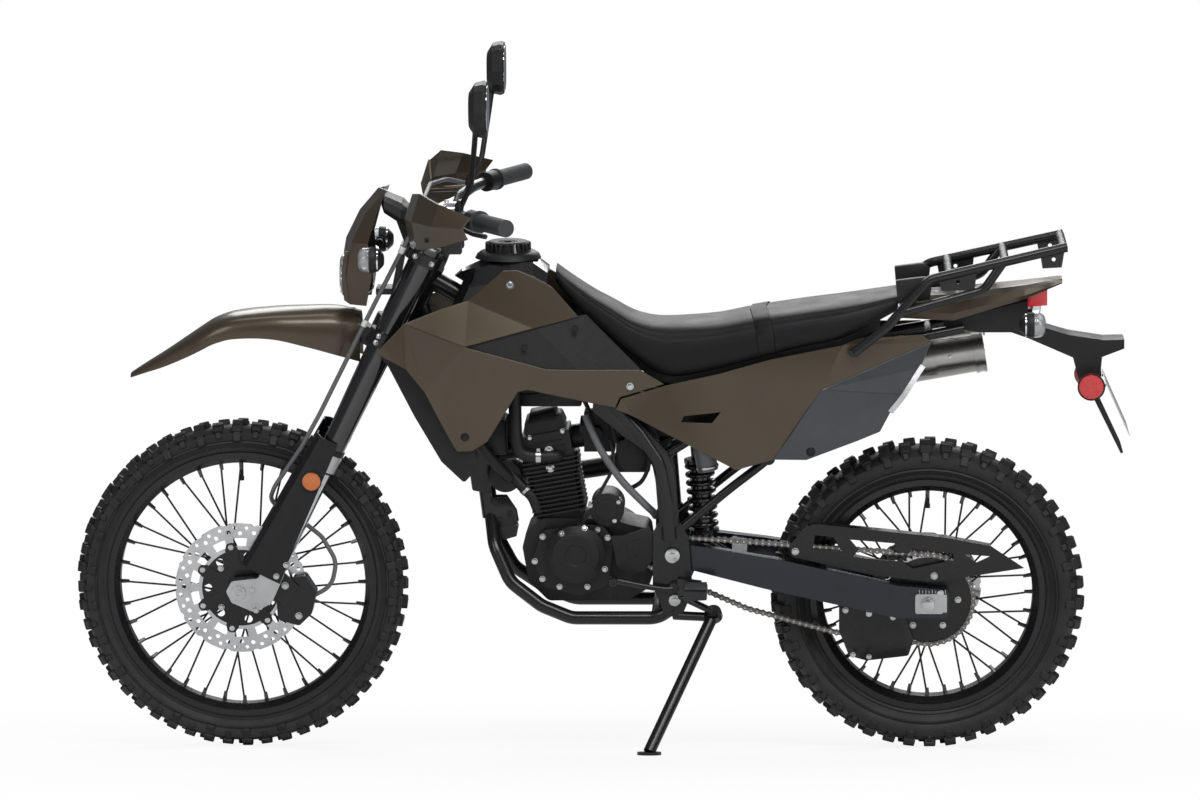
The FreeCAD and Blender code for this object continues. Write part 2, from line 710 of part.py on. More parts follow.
def make_front_fender():
    """high fender, drawn level from the underside of the lower clamp"""
    stations = [(1134, 46, 794, 891), (1182, 60, 816, 903), (1288, 68, 838, 900), (1369, 66, 842, 890),
                (1451, 56, 815, 850), (1523, 42, 785, 816), (1599, 18, 757, 765)]
    base = Vector(1070, 0, 822)
    shell = arched([(x - base.x, half, low - base.z, high - base.z) for x, half, low, high in stations],
                   s.panel_thickness)
    post = slab([(76, 44 + s.fitting_gap), (108, 44 + s.fitting_gap), (108, 73), (76, 61)], -16, 16)
    formed("front_fender", shell.fuse(post), LOWER_CLAMP)


# Frame
def make_frame():
    low = s.lower_clamp_height + s.lower_clamp_thickness + 5
    tall = s.upper_clamp_height - 5 - low
    along = FORK.Rotation.multVec(UP)
    base = FORK.multVec(UP * low)
    head = Part.makeCylinder(s.head_tube_radius, tall, base, along)
    plate_y = s.pivot_plate_inner + s.pivot_plate_thickness / 2
    backbone = tube([base + along * (tall * 0.8), Vector(900, 0, 900), Vector(700, 0, 800), Vector(640, 0, 735)],
                    s.backbone_radius)
    down = tube([base + along * (tall * 0.5), Vector(905, 0, 640), Vector(884, 0, 520), Vector(878, 0, 470)],
                s.down_tube_radius)
    parts = [head, backbone, down, drum(s.frame_tube_radius, -plate_y, plate_y, 640, 735),
             drum(s.cradle_tube_radius, -100, 100, 540, 286),
             slab([(888, 500), (858, 470), (822, 452), (826, 432), (868, 420), (884, 440)], -14, 14)]
    for side in (1, -1):
        y = side * plate_y
        spar = tube([Vector(640, y, 735), Vector(574, y, 660), Vector(534, y, 600), Vector(520, y, 521),
                     Vector(516, y, 445)], s.frame_tube_radius)
        cradle = tube([Vector(878, 0, 480), Vector(868, side * 52, 420), Vector(836, side * 78, 352),
                       Vector(773, side * 92, 306), Vector(713, side * 96, 282), Vector(540, side * 96, 282),
                       Vector(508, side * 100, 306)], s.cradle_tube_radius)
        plate = slab([(548, 460), (550, 350), (524, 288), (492, 288), (470, 340), (478, 450), (496, 480), (536, 480)],
                     side * s.pivot_plate_inner, side * (s.pivot_plate_inner + s.pivot_plate_thickness), 12)
        rail = tube([Vector(626, side * 66, 738), Vector(520, side * 70, 728), Vector(320, side * 76, 772),
                     Vector(150, side * 76, 822), Vector(-70, side * 60, 862)], s.subframe_tube_radius, 80)
        strut = tube([Vector(536, side * 92, 606), Vector(400, side * 84, 690), Vector(150, side * 76, 822)],
                     s.subframe_tube_radius)
        parts += [spar, cradle, plate, rail, strut]
    parts += [rod(Vector(320, -76, 772), Vector(320, 76, 772), 9), rod(Vector(0, -67, 849), Vector(0, 67, 849), 9)]
    parts.append(slab([(100, 806), (100, 832), (70, 840), (66, 806)], -68, 20 - s.muffler_offset))
    parts += stand_bracket_pieces()
    frame = parts[0].multiFuse(parts[1:])
    bore = Part.makeCylinder(s.stem_radius + s.running_gap, tall + 40, base - along * 20, along)
    pivot = drum(s.pivot_bolt_radius, -150, 150, s.pivot_reach, s.pivot_height)
    frame = frame.cut(bore).cut(pivot).cut(knuckle_room())
    formed("main_frame", frame.fuse(stand_pin()))


# Side stand, drawn down on the ground on which the leaned machine rests
def tyre_contact(name):
    """lowest point of a tyre once the machine leans"""
    radius, spread = getattr(s, name + "_tyre_radius"), getattr(s, name + "_tyre_half_width")
    crown = getattr(s, name + "_crown_half_width")
    lean = math.radians(s.lean_angle)
    corners = [(crown, 0), (crown + 12, 6), (spread - 3, 19), (spread, 36)]
    return min(((y, z) for y, z in corners), key=lambda c: c[1] * math.cos(lean) - c[0] * math.sin(lean))


def leaned_frame():
    """turns the upright machine on to its side stand, with both tyres on the ground"""
    lean = math.radians(s.lean_angle)
    drops = []
    for name in ("front", "rear"):
        y, z = tyre_contact(name)
        drops.append(z * math.cos(lean) - y * math.sin(lean))
    pitch = math.degrees(math.atan((drops[0] - drops[1]) / s.wheelbase))
    turn = Rotation(ACROSS, pitch).multiply(Rotation(Vector(1, 0, 0), -s.lean_angle))
    return Placement(Vector(0, 0, -drops[1]), turn)


LEANED = leaned_frame()
GROUND_UP = LEANED.inverse().Rotation.multVec(UP)


def ground_below(x, y):
    """height of the ground in the upright machine's own frame"""
    on_ground = LEANED.inverse().multVec(Vector(0, 0, 0))
    return on_ground.z - (GROUND_UP.x * (x - on_ground.x) + GROUND_UP.y * (y - on_ground.y)) / GROUND_UP.z


STAND_PIVOT = Vector(s.stand_pivot_reach, s.stand_pivot_offset, s.stand_pivot_height)
FOOT_X, FOOT_Y = STAND_PIVOT.x + s.stand_forward, STAND_PIVOT.y + s.stand_outward
STAND_FOOT = Vector(FOOT_X, FOOT_Y, ground_below(FOOT_X, FOOT_Y))
STAND_DOWN = STAND_FOOT + GROUND_UP * s.stand_foot_thickness - STAND_PIVOT
STAND_FOLDED = Vector(-328, 8, 64)
STAND_HINGE = STAND_DOWN.cross(STAND_FOLDED)
STAND_HINGE.normalize()
STAND_SWING = math.degrees(STAND_DOWN.getAngle(STAND_FOLDED))


def stand_bracket_pieces():
    """two ears beside the stand's knuckle, and the arms that carry them from the left cradle tube"""
    gap = s.knuckle_half_width + s.running_gap
    ear = s.knuckle_radius - 4
    pieces = []
    for way in (1, -1):
        start = STAND_PIVOT + STAND_HINGE * (gap if way > 0 else -gap - s.ear_thickness)
        pieces.append(Part.makeCylinder(ear, s.ear_thickness, start, STAND_HINGE))
    middle = STAND_HINGE * (gap + s.ear_thickness / 2)
    pieces.append(rod(STAND_PIVOT - middle, Vector(508, 100, 288), 9))
    pieces.append(rod(STAND_PIVOT + middle, Vector(496, 112, 330), 7))
    return pieces


def knuckle_room():
    gap = s.knuckle_half_width + s.running_gap
    return Part.makeCylinder(s.knuckle_radius + 3, 2 * gap, STAND_PIVOT - STAND_HINGE * gap, STAND_HINGE)


def stand_pin():
    reach = s.knuckle_half_width + s.running_gap + s.ear_thickness
    return Part.makeCylinder(s.stand_pin_radius, 2 * reach, STAND_PIVOT - STAND_HINGE * reach, STAND_HINGE)


def make_stand():
    along = Vector(STAND_DOWN)
    along.normalize()
    leg = rod(STAND_PIVOT + along * 15.5, STAND_PIVOT + STAND_DOWN, s.stand_tube_radius)
    wide = s.knuckle_half_width
    knuckle = Part.makeCylinder(s.knuckle_radius, 2 * wide, STAND_PIVOT - STAND_HINGE * wide, STAND_HINGE)
    shoe = Part.makeCylinder(s.stand_foot_radius, s.stand_foot_thickness, STAND_FOOT, GROUND_UP)
    hole = Part.makeCylinder(s.stand_pin_radius + s.running_gap, 4 * wide, STAND_PIVOT - STAND_HINGE * 2 * wide,
                             STAND_HINGE)
    below = Part.makeBox(200, 200, 60, Vector(-100, -100, -60))
    below.Placement = Placement(STAND_FOOT, Rotation(UP, GROUND_UP))
    formed("side_stand", leg.fuse([knuckle, shoe]).cut(hole).cut(below))


# Swingarm, rear axle and drive
def make_swingarm():
    inner, outer, half = s.swingarm_inner, s.swingarm_outer, s.swingarm_height / 2
    root = s.pivot_plate_inner - 3
    x, z = s.pivot_reach, s.pivot_height
    tail = REAR_AXLE.z
    plan = [(x + 26, 62), (470, 66), (400, 78), (330, inner), (-42, inner), (-42, outer), (330, outer),
            (400, outer - 8), (470, root), (x + 26, root)]
    side_view = [(x + 26, z + 18), (x - 10, z + 20), (300, z - 42 + half), (60, tail + 3 + half),
                 (20, tail + half), (-42, tail + half - 6), (-42, tail - half + 4), (60, tail + 3 - half),
                 (300, z - 42 - half), (x - 10, z - 28), (x + 26, z - 22)]
    floor_plan = [Vector(px, py, 200) for px, py in plan]
    tall = Part.Face(Part.makePolygon(floor_plan + floor_plan[:1])).extrude(UP * 300)
    leg = tall.common(slab(side_view, 40, outer + 16, 12))
    pivot = drum(s.pivot_tube_radius, -root, root, x, z)
    bridge = slab([(392, 366), (392, 416), (362, 410), (362, 360)], -84, 84)
    arm = leg.fuse([mirrored(leg), pivot, bridge])
    arm = arm.cut(drum(s.rear_axle_radius, -outer - 9, outer + 9, 0, tail))
    bolt = drum(s.pivot_bolt_radius, -118, 118, x, z)
    formed("swingarm", arm.fuse(bolt))

    far = outer + 13
    axle = drum(s.rear_axle_radius, -far - 3, far + 3)
    for side in (1, -1):
        axle = axle.fuse(drum(15, side * (s.rear_hub_half_width + s.running_gap), side * inner))
        plate = slab([(-30, -20), (26, -20), (26, 20), (-30, 20)], side * outer, side * (outer + 5), 5)
        axle = axle.fuse([plate, drum(14, side * (outer + 5), side * far)])
    formed("rear_axle", axle.cut(drum(s.axle_bore_radius, -far - 9, far + 9)), REAR_WHEEL)


def chain_line(grow):
    """line of the chain: round both sprockets, with its lower run slack"""
    big, small = pitch_radius(s.rear_teeth) + grow, pitch_radius(s.front_teeth) + grow
    front = Vector(s.front_sprocket_reach, 0, s.front_sprocket_height)
    corners = []
    for i in range(9):
        turn = math.radians(94 - i * 21.5)
        corners.append(front + Vector(math.cos(turn), 0, math.sin(turn)) * small)
    corners += [Vector(361, 0, 296 - grow), Vector(178, 0, 246 - grow)]
    for i in range(17):
        turn = math.radians(-76 - i * 11.9)
        corners.append(REAR_AXLE + Vector(math.cos(turn), 0, math.sin(turn)) * big)
    return corners


def walked(corners, count):
    """evenly spaced places along a closed line"""
    ends = corners[1:] + corners[:1]
    total = sum((end - start).Length for start, end in zip(corners, ends))
    places, done = [], 0.0
    for start, end in zip(corners, ends):
        run = (end - start).Length
        while len(places) < count and len(places) * total / count < done + run:
            places.append(start + (end - start) * ((len(places) * total / count - done) / run))
        done += run
    return places


def make_drive():
    near, far = s.chain_offset - s.chain_half_width, s.chain_offset + s.chain_half_width
    depth = ACROSS * (far - near)
    waists = 2 * int(s.chain_waists)
    crests = walked(chain_line(s.chain_half_height + 5 + s.running_gap), waists)
    hollows = walked(chain_line(s.chain_half_height + 2 + s.running_gap), waists)
    outer = [crests[i] if i % 2 else hollows[i] for i in range(waists)]
    inner = chain_line(4 + s.running_gap)
    loop = Part.Face(Part.makePolygon(outer + outer[:1])).extrude(depth)
    loop = loop.cut(Part.Face(Part.makePolygon(inner + inner[:1])).extrude(depth))
    loop.translate(ACROSS * near)
    formed("chain", loop)

    face = s.chain_offset - s.sprocket_thickness / 2
    wheel = sprocket(s.front_teeth, 10)
    wheel.translate(ACROSS * face)
    shaft = drum(10, s.case_half_width, face + s.sprocket_thickness + 4)
    seat = Placement(Vector(s.front_sprocket_reach, 0, s.front_sprocket_height), Rotation())
    formed("front_sprocket", wheel.fuse(shaft), seat)

    edge = far + 3
    outside = edge + s.guard_thickness
    guard = slab([(277, 427), (242, 467), (218, 471), (-35, 444), (-124, 427), (-191, 382), (-10, 353), (114, 368),
                  (272, 405)], edge, outside)
    window = slab([(60, 396), (150, 404), (140, 418), (40, 412)], edge, outside)
    top = slab([(242, 463), (218, 467), (-35, 440), (-124, 423), (-124, 427), (-35, 444), (218, 471), (242, 467)],
               near - 4, edge)
    guide = slab([(178, 308), (47, 288), (29, 235), (39, 203), (123, 193), (158, 203), (178, 254)], edge, outside, 8)
    shoe = slab([(39, 203), (123, 193), (158, 203), (158, 209), (123, 203), (39, 210)], near - 4, edge)
    arm = shape_of("swingarm")
    shapes = [guard.cut(window).fuse(top).cut(arm), guide.fuse(shoe).cut(arm)]
    formed("chain_guard", Part.makeCompound(shapes))


# Engine
def make_engine():
    half = s.case_half_width
    case = slab([(812, 420), (800, 455), (770, 478), (640, 478), (600, 466), (556, 456), (545, 380), (560, 335),
                 (600, 312), (760, 310), (800, 350)], -half, half, 16)
    case = case.fuse(drum(s.starter_radius, 0, half + 8, 641, 500))
    formed("crankcase", case)
    reach = s.generator_reach
    generator = drum(s.generator_radius, half, reach - 10, 703, 414)
    crown = Part.makeCone(s.generator_radius, s.generator_radius - 12, 10, Vector(703, reach - 10, 414), ACROSS)
    shelf = slab([(790, 400), (770, 460), (650, 470), (628, 440), (640, 345), (700, 326), (770, 345)],
                 half, half + 26, 20)
    formed("generator_cover", generator.fuse([crown, shelf]).cut(case))
    reach = s.clutch_reach
    clutch = drum(s.clutch_radius, 10 - reach, -half, 640, 400)
    crown = Part.makeCone(s.clutch_radius - 10, s.clutch_radius, 10, Vector(640, -reach, 400), ACROSS)
    shelf = slab([(790, 380), (775, 455), (590, 462), (562, 400), (590, 325), (770, 325)], -half - 30, -half, 20)
    formed("clutch_cover", clutch.fuse([crown, shelf]))

    tall = s.cylinder_height
    barrel = Part.makeBox(84, 92, tall + 20, Vector(-42, -46, -20))
    fins = []
    for i in range(int((tall - 6) / s.fin_pitch)):
        fins.append(Part.makeBox(108, 116, s.fin_thickness, Vector(-54, -58, 10 + i * s.fin_pitch)))
    cut_case = case.copy()
    cut_case.Placement = CYLINDER.inverse().multiply(case.Placement)
    formed("cylinder", barrel.multiFuse(fins).cut(cut_case), CYLINDER)
    head = Part.makeBox(96, 104, 78, Vector(-48, -52, tall))
    more = [Part.makeBox(112, 124, s.fin_thickness, Vector(-56, -62, tall + 4 + i * s.fin_pitch)) for i in range(3)]
    cover = slab([(-44, tall + 78), (-36, tall + 108), (36, tall + 108), (44, tall + 78)], -46, 46, 8)
    port = Part.makeCylinder(s.header_radius + 4, 22, Vector(44, -22, tall + 44), Vector(1, 0, 0))
    formed("cylinder_head", head.multiFuse(more + [cover, port]), CYLINDER)

    intake = tube([Vector(712, 0, 634), Vector(640, 0, 645), Vector(610, 0, 655)], 24)
    throttle = Part.makeBox(62, 60, 78, Vector(626, -30, 608))
    box = slab([(622, 650), (626, 700), (560, 716), (430, 716), (418, 660), (470, 640)], -52, 52, 10)
    spring_way = Part.makeCylinder(42, 300, Vector(452, 0, 520), UP)
    formed("air_box", intake.fuse([throttle, box]).cut(spring_way).cut(shape_of("cylinder_head"))
           .cut(shape_of("main_frame")))


def make_exhaust():
    port = CYLINDER.multVec(Vector(66, -22, s.cylinder_height + 44))
    aim = CYLINDER.Rotation.multVec(Vector(1, 0, 0))
    y = -s.muffler_offset
    start = Vector(230, y, 733)
    header = tube([port, port + aim * 40, Vector(862, -95, 566), Vector(800, -138, 525), Vector(650, -150, 545),
                   Vector(450, -154, 628), Vector(300, y, 708), start], s.header_radius, 70)
    formed("exhaust_header", header)
    slope = Vector(-math.cos(math.radians(s.muffler_slope)), 0, math.sin(math.radians(s.muffler_slope)))
    wide, long = s.muffler_radius, s.muffler_length
    entry = Part.makeCone(s.header_radius + 3, wide, 60, start, slope)
    can = Part.makeCone(wide, wide - 5, long - 78, start + slope * 60, slope)
    ring = Part.makeCylinder(wide - 3, 18, start + slope * (long - 18), slope)
    outlet = Part.makeCylinder(s.outlet_radius, 90, start + slope * (long - 90), slope)
    shield = Part.makeCone(wide + 5, wide + 1, 170, start + slope * 80, slope)
    upper = Part.makeBox(400, 160, 200, start + Vector(-330, -100, 4))
    muffler = entry.fuse([can, ring, shield.common(upper)]).cut(outlet)
    formed("muffler", muffler.cut(header).cut(shape_of("main_frame")))


def make_shock():
    """shock absorber, its spring as stacked turns on the damper"""
    low, high = Vector(446, 0, 412), Vector(466, 0, 690)
    along = high - low
    along.normalize()
    seats = [rod(low + along * 26, low + along * 34, 30), rod(low + along * 170, low + along * 178, 30)]
    body = rod(low + along * 6, low + along * 290, 15).fuse(rod(low + along * 30, low + along * 174, 20.5))
    turns = [Part.makeTorus(25, 5, low + along * (44 + 17 * i), along) for i in range(8)]
    lug = rod(low + along * 10, Vector(392, 0, 390), 9)
    whole = body.multiFuse(seats + turns + [lug])
    formed("shock_absorber", whole.cut(shape_of("swingarm")).cut(shape_of("main_frame")))


# Bodywork: places are (forward, outward, up)
SHROUD = {
    "tip": (1093, 172, 831), "b": (1077, 170, 849), "c": (1038, 160, 889), "d": (963, 130, 915), "f": (913, 112, 928),
    "g": (844, 99, 986), "gh": (817, 97, 987), "i": (782, 97, 973), "j": (747, 97, 953), "k": (694, 101, 893),
    "l": (783, 122, 873), "m": (918, 148, 840), "n": (757, 140, 794), "o": (694, 134, 792), "p": (573, 126, 791),
    "q": (524, 122, 761), "r": (612, 132, 736), "t": (722, 136, 736), "u": (795, 142, 753), "v": (814, 144, 749),
    "w": (875, 148, 650), "x": (905, 150, 631), "y": (936, 152, 630), "z1": (950, 154, 655), "z2": (973, 160, 700),
    "z3": (998, 166, 752), "z4": (1035, 172, 800), "s": (622, 132, 715),
}
SHROUD_FACES = [
    ("tip", "b", "z4"), ("b", "c", "z4"), ("c", "d", "m"), ("d", "f", "m"), ("f", "l", "m"), ("f", "g", "l"),
    ("g", "gh", "l"), ("gh", "i", "l"), ("i", "j", "l"), ("j", "k", "l"), ("c", "z3", "z4"), ("c", "m", "z3"),
    ("m", "z2", "z3"), ("m", "v", "z2"), ("m", "n", "v"), ("v", "w", "z2"), ("w", "z1", "z2"), ("w", "x", "z1"),
    ("x", "y", "z1"), ("n", "u", "v"), ("n", "t", "u"), ("n", "o", "t"), ("o", "r", "t"), ("o", "p", "r"),
    ("p", "q", "r"), ("r", "s", "t"),
]
WINDOW = {"k": (680, 94, 897), "l": (783, 115, 877), "m": (922, 141, 842), "n": (757, 133, 790), "o": (694, 127, 788),
          "p": (569, 119, 788)}
WINDOW_FACES = [("m", "l", "n"), ("l", "o", "n"), ("l", "k", "o"), ("k", "p", "o")]
SIDE = {
    "e": (417, 121, 781), "e2": (312, 124, 811), "f": (171, 120, 838), "g": (142, 116, 850), "r": (14, 92, 855), "i": (-5, 92, 841),
    "j": (213, 134, 752), "k": (310, 136, 611), "l": (382, 136, 590), "m": (461, 138, 633), "n": (590, 132, 700),
}
SIDE_FACES = [
    ("a", "b", "n"), ("b", "d", "n"), ("d", "m", "n"), ("d", "e", "m"), ("e", "l", "m"), ("e", "k", "l"),
    ("e", "j", "k"), ("e", "e2", "j"), ("e2", "f", "j"), ("f", "i", "j"), ("f", "r", "i"),
    ("f", "g", "r"),
]
for corner, edge in (("a", "s"), ("b", "r"), ("d", "q")):
    SIDE[corner] = tuple(Vector(*SHROUD[edge]) - Vector(2, 1, 3))
SIDE_RIGHT = {"j": 102, "k": 104, "l": 112, "m": 120, "e2": 121}
PLATE = {
    "i": (-5, 92, 841), "j": (213, 134, 752), "k": (310, 136, 611), "b": (16, 104, 791), "c": (49, 124, 740),
    "d": (75, 130, 708), "e": (97, 134, 667), "f": (142, 138, 649), "g": (243, 140, 611), "m": (266.6, 145, 674),
}
PLATE_FACES = [
    ("i", "j", "b"), ("b", "j", "c"), ("c", "j", "m"), ("c", "m", "d"), ("d", "m", "e"), ("e", "m", "f"),
    ("f", "m", "g"), ("g", "m", "k"),
]
PLATE_RIGHT = {"j": 102, "k": 104, "b": 92, "c": 98, "d": 100, "e": 101, "f": 102, "g": 103, "m": 106}
DEEP_PANEL = [(1092, 826), (1071, 799), (1021, 700), (968, 608), (923, 565), (900, 590), (900, 640), (940, 700),
              (980, 780), (1000, 850), (1040, 866)]


def tucked(points, depths):
    """the right-hand panels lie closer in, inside the muffler"""
    return {name: (x, depths.get(name, y), z) for name, (x, y, z) in points.items()}


def make_panels():
    gap = s.fitting_gap
    frame = shape_of("main_frame")
    shrouds, covers, sides, plates = [], [], [], []
    for side in (1, -1):
        shroud = folded(SHROUD, SHROUD_FACES, side)
        shrouds.append(shroud)
        window = folded(WINDOW, WINDOW_FACES, side)
        deep = slab(DEEP_PANEL, side * 134, side * 138, 6)
        pegs = [drum(6, side * 136, side * 170, 1012, 812), drum(6, side * 136, side * 160, 946, 690)]
        deep = deep.multiFuse(pegs).cut(shroud)
        deep = max(deep.Solids, key=lambda solid: solid.Volume)
        stud = [drum(5, side * 110, side * 140, 800, 836), drum(5, side * 100, side * 122, 700, 872)]
        inside = max(window.multiFuse(stud).cut(shroud).Solids, key=lambda solid: solid.Volume)
        covers += [inside, deep]
        side_points = SIDE if side > 0 else tucked(SIDE, SIDE_RIGHT)
        plate_points = PLATE if side > 0 else tucked(PLATE, PLATE_RIGHT)
        panel = folded(side_points, SIDE_FACES, side)
        vent = slab([(492, 686), (486, 698), (412, 706), (430, 684)], side * 60, side * 160)
        boss = drum(s.rack_boss_radius + gap, side * 60, side * 160, s.rack_foot_reach,
                    s.rack_foot_height)
        sides.append(max(panel.cut(vent).cut(boss).cut(frame).Solids, key=lambda solid: solid.Volume))
        plates.append(folded(plate_points, PLATE_FACES, side).cut(panel).cut(frame))
    formed("shrouds", Part.makeCompound(shrouds))
    formed("inner_panels", Part.makeCompound(covers))
    formed("side_panels", Part.makeCompound(sides))
    formed("number_panels", Part.makeCompound(plates))


def lock_room():
    """room behind the head tube that the legs and yokes sweep up to either steering lock"""
    lock = math.radians(s.steering_lock)
    x, y = s.fork_offset, s.fork_spread
    leg = Vector(x * math.cos(lock) - y * math.sin(lock), x * math.sin(lock) + y * math.cos(lock), 0)
    rear = x - s.yoke_depth - s.moving_gap
    half = [(rear / math.cos(lock), 0),
            (rear * math.cos(lock) - y * math.sin(lock), rear * math.sin(lock) + y * math.cos(lock))]
    reach = (s.outer_tube_radius + s.clamp_wall + s.moving_gap) / math.cos(math.radians(12))
    for turn in (192, 168, 144, 120, 96):
        at = math.radians(turn)
        half.append((leg.x + reach * math.cos(at), leg.y + reach * math.sin(at)))
    half.append((60, leg.y + reach))
    low, high = s.lower_clamp_height - 45, s.fork_top + s.moving_gap
    corners = [Vector(px, py, low) for px, py in half + [(px, -py) for px, py in reversed(half[1:])]]
    room = Part.Face(Part.makePolygon(corners + corners[:1])).extrude(UP * (high - low))
    room.Placement = FORK
    return room


def make_tank():
    stations = [(758, 88, 875, 980), (785, 92, 858, 1002), (830, 93, 850, 1006), (890, 90, 850, 994),
                (930, 78, 862, 976), (950, 60, 890, 958)]
    tunnel = slab([(740, 800), (740, 884), (960, 968), (960, 800)], -34, 34)
    cap = Part.makeCone(s.cap_radius, s.cap_radius - 5, 34, Vector(838, 0, 996), UP)
    tank = crowned(stations).cut(tunnel).fuse(cap).cut(lock_room()).cut(shape_of("main_frame"))
    formed("fuel_tank", max(tank.Solids, key=lambda solid: solid.Volume))


def make_seat():
    stations = [(742, 52, 956, 984), (722, 60, 932, 968), (669, 74, 880, 932), (631, 84, 848, 911),
                (588, 94, 812, 887), (546, 102, 782, 876), (503, 108, 772, 875), (416, 113, 788, 881),
                (358, 116, 804, 892), (258, 117, 830, 907), (163, 112, 852, 919), (60, 88, 902, 934)]
    formed("seat", crowned(stations))


def make_tail():
    cowl = crowned([(56, 84, 886, 928), (-48, 80, 880, 932), (-99, 72, 894, 938), (-191, 58, 920, 947),
                    (-266, 34, 948, 957)])
    cowl = cowl.cut(shape_of("seat"))
    formed("tail_cowl", cowl)
    arm = slab([(-30, 870), (-190, 912), (-197, 912), (-200, 866), (-232, 859), (-279, 845), (-349, 834), (-390, 835),
                (-390, 817), (-346, 800), (-342, 753), (-300, 753), (-288, 799), (-199, 838), (-165, 850), (-100, 850),
                (-30, 862)], -34, 34)
    bar = slab([(-332, 740), (-314, 740), (-314, 754), (-332, 754)], -70, 70)
    flap = slab([(-314, 750), (-322, 753), (-388, 612), (-383, 610)], -62, 62)
    under = arm.multiFuse([bar, flap]).cut(shape_of("main_frame")).cut(cowl)
    formed("rear_under_fender", under)
    lamp = slab([(-197.3, 918), (-197.3, 902), (-236, 905), (-236, 936), (-205, 926)], -38, 38)
    spots = [drum(27, side * 70, side * 78, -323, 747) for side in (1, -1)]
    formed("tail_lamp_and_reflectors", Part.makeCompound([lamp.cut(cowl).cut(under)] + spots))
    signal = round_signal(Vector(-178, 128, 880), -1)
    formed("rear_turn_signals", pair(signal.fuse(drum(7, 34 + s.fitting_gap, 118, -203, 880))))
    half = s.plate_half_width
    plate = slab([(-350, 757), (-352, 757), (-400, 650), (-398, 650)], -half, half)
    formed("number_plate", plate)


RACK_HOLES = {"front": (-57, 104.5, 963), "rear": (-246, 93.5, 1006)}
RACK_TABS = {"front": [(-19, 972), (-95, 990), (-90, 947), (-24, 945)],
             "rear": [(-219, 1018), (-268, 1028), (-262, 990), (-224, 988)]}


def make_rack():
    r = s.rack_tube_radius
    wide = s.rack_tab_thickness
    foot_x, foot_z = s.rack_foot_reach, s.rack_foot_height
    rail = tube([Vector(foot_x, 138, foot_z), Vector(84, 132, 876), Vector(0, 108, 968), Vector(-272, 92, 1030)], r, 40)
    strut = tube([Vector(60, 124, 902), Vector(-108, 102, 946), Vector(-146, 98, 1000)], r - 0.5, 40)
    side = rail.fuse(strut).fuse(drum(s.rack_boss_radius, 83, 134, foot_x, foot_z))
    for name, (x, y, z) in RACK_HOLES.items():
        side = side.fuse(slab(RACK_TABS[name], y - wide / 2, y + wide / 2))
        side = side.cut(drum(s.rack_hole_radius, y - wide, y + wide, x, z))
    side = side.cut(shape_of("main_frame"))
    bars = [rod(Vector(x, -y, z), Vector(x, y, z), r - 0.5)
            for x, y, z in ((-265, 92.4, 1028.4), (-150, 99.2, 1002.2), (-40, 105.6, 977.1))]
    formed("luggage_rack", side.multiFuse([mirrored(side)] + bars))


def make_pegs():
    start = s.pivot_plate_inner + s.pivot_plate_thickness
    pegs = []
    for side in (1, -1):
        inside, outside = side * (start + 14), side * (start + 14 + s.peg_length)
        peg = slab([(486, 340), (486, 360), (440, 358), (440, 342)], inside, outside, 3)
        arm = slab([(500, 332), (500, 368), (452, 362), (452, 338)], side * start, inside)
        pegs.append(peg.fuse(arm))
    formed("footpegs", Part.makeCompound(pegs).cut(shape_of("main_frame")))


make_wheel("front", FRONT_WHEEL)
make_wheel("rear", REAR_WHEEL)
make_brake_discs()
make_rear_sprocket()
make_fork()
make_bars()
make_headlight()
make_brake_hose()
make_front_fender()
make_frame()
make_stand()
make_swingarm()
make_drive()
make_engine()
make_exhaust()
make_shock()
make_panels()
make_tank()
make_seat()
make_tail()
make_rack()
make_pegs()
doc.recompute()


# The machine leans on its stand, and the origin moves under the middle of its box
def middle_of_box():
    reach = []
    for piece in PIECES.values():
        leaned = piece.Shape.copy()
        leaned.Placement = LEANED.multiply(piece.Shape.Placement)
        reach += leaned.tessellate(0.5)[0]
    lows = [min(place[i] for place in reach) for i in range(3)]
    highs = [max(place[i] for place in reach) for i in range(3)]
    return Vector((lows[0] + highs[0]) / 2, (lows[1] + highs[1]) / 2, lows[2])


PARKED = Placement(middle_of_box() * -1, Rotation()).multiply(LEANED)
for piece in PIECES.values():
    piece.Placement = PARKED.multiply(piece.Placement)
doc.recompute()

for item in doc.Objects:
    if "Invalid" in item.State or "Error" in item.State:
        raise RuntimeError("%s did not build" % item.Label)
os.makedirs("parts", exist_ok=True)
for label, piece in PIECES.items():
    if piece.Shape.isNull() or not piece.Shape.isValid():
        raise RuntimeError("%s has no valid shape" % label)
    piece.Shape.exportStep("parts/" + label + ".step")
print(len(PIECES), "sub-parts")
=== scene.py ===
import bmesh
import bpy
import json
import math
from mathutils import Matrix, Vector
from mathutils.bvhtree import BVHTree


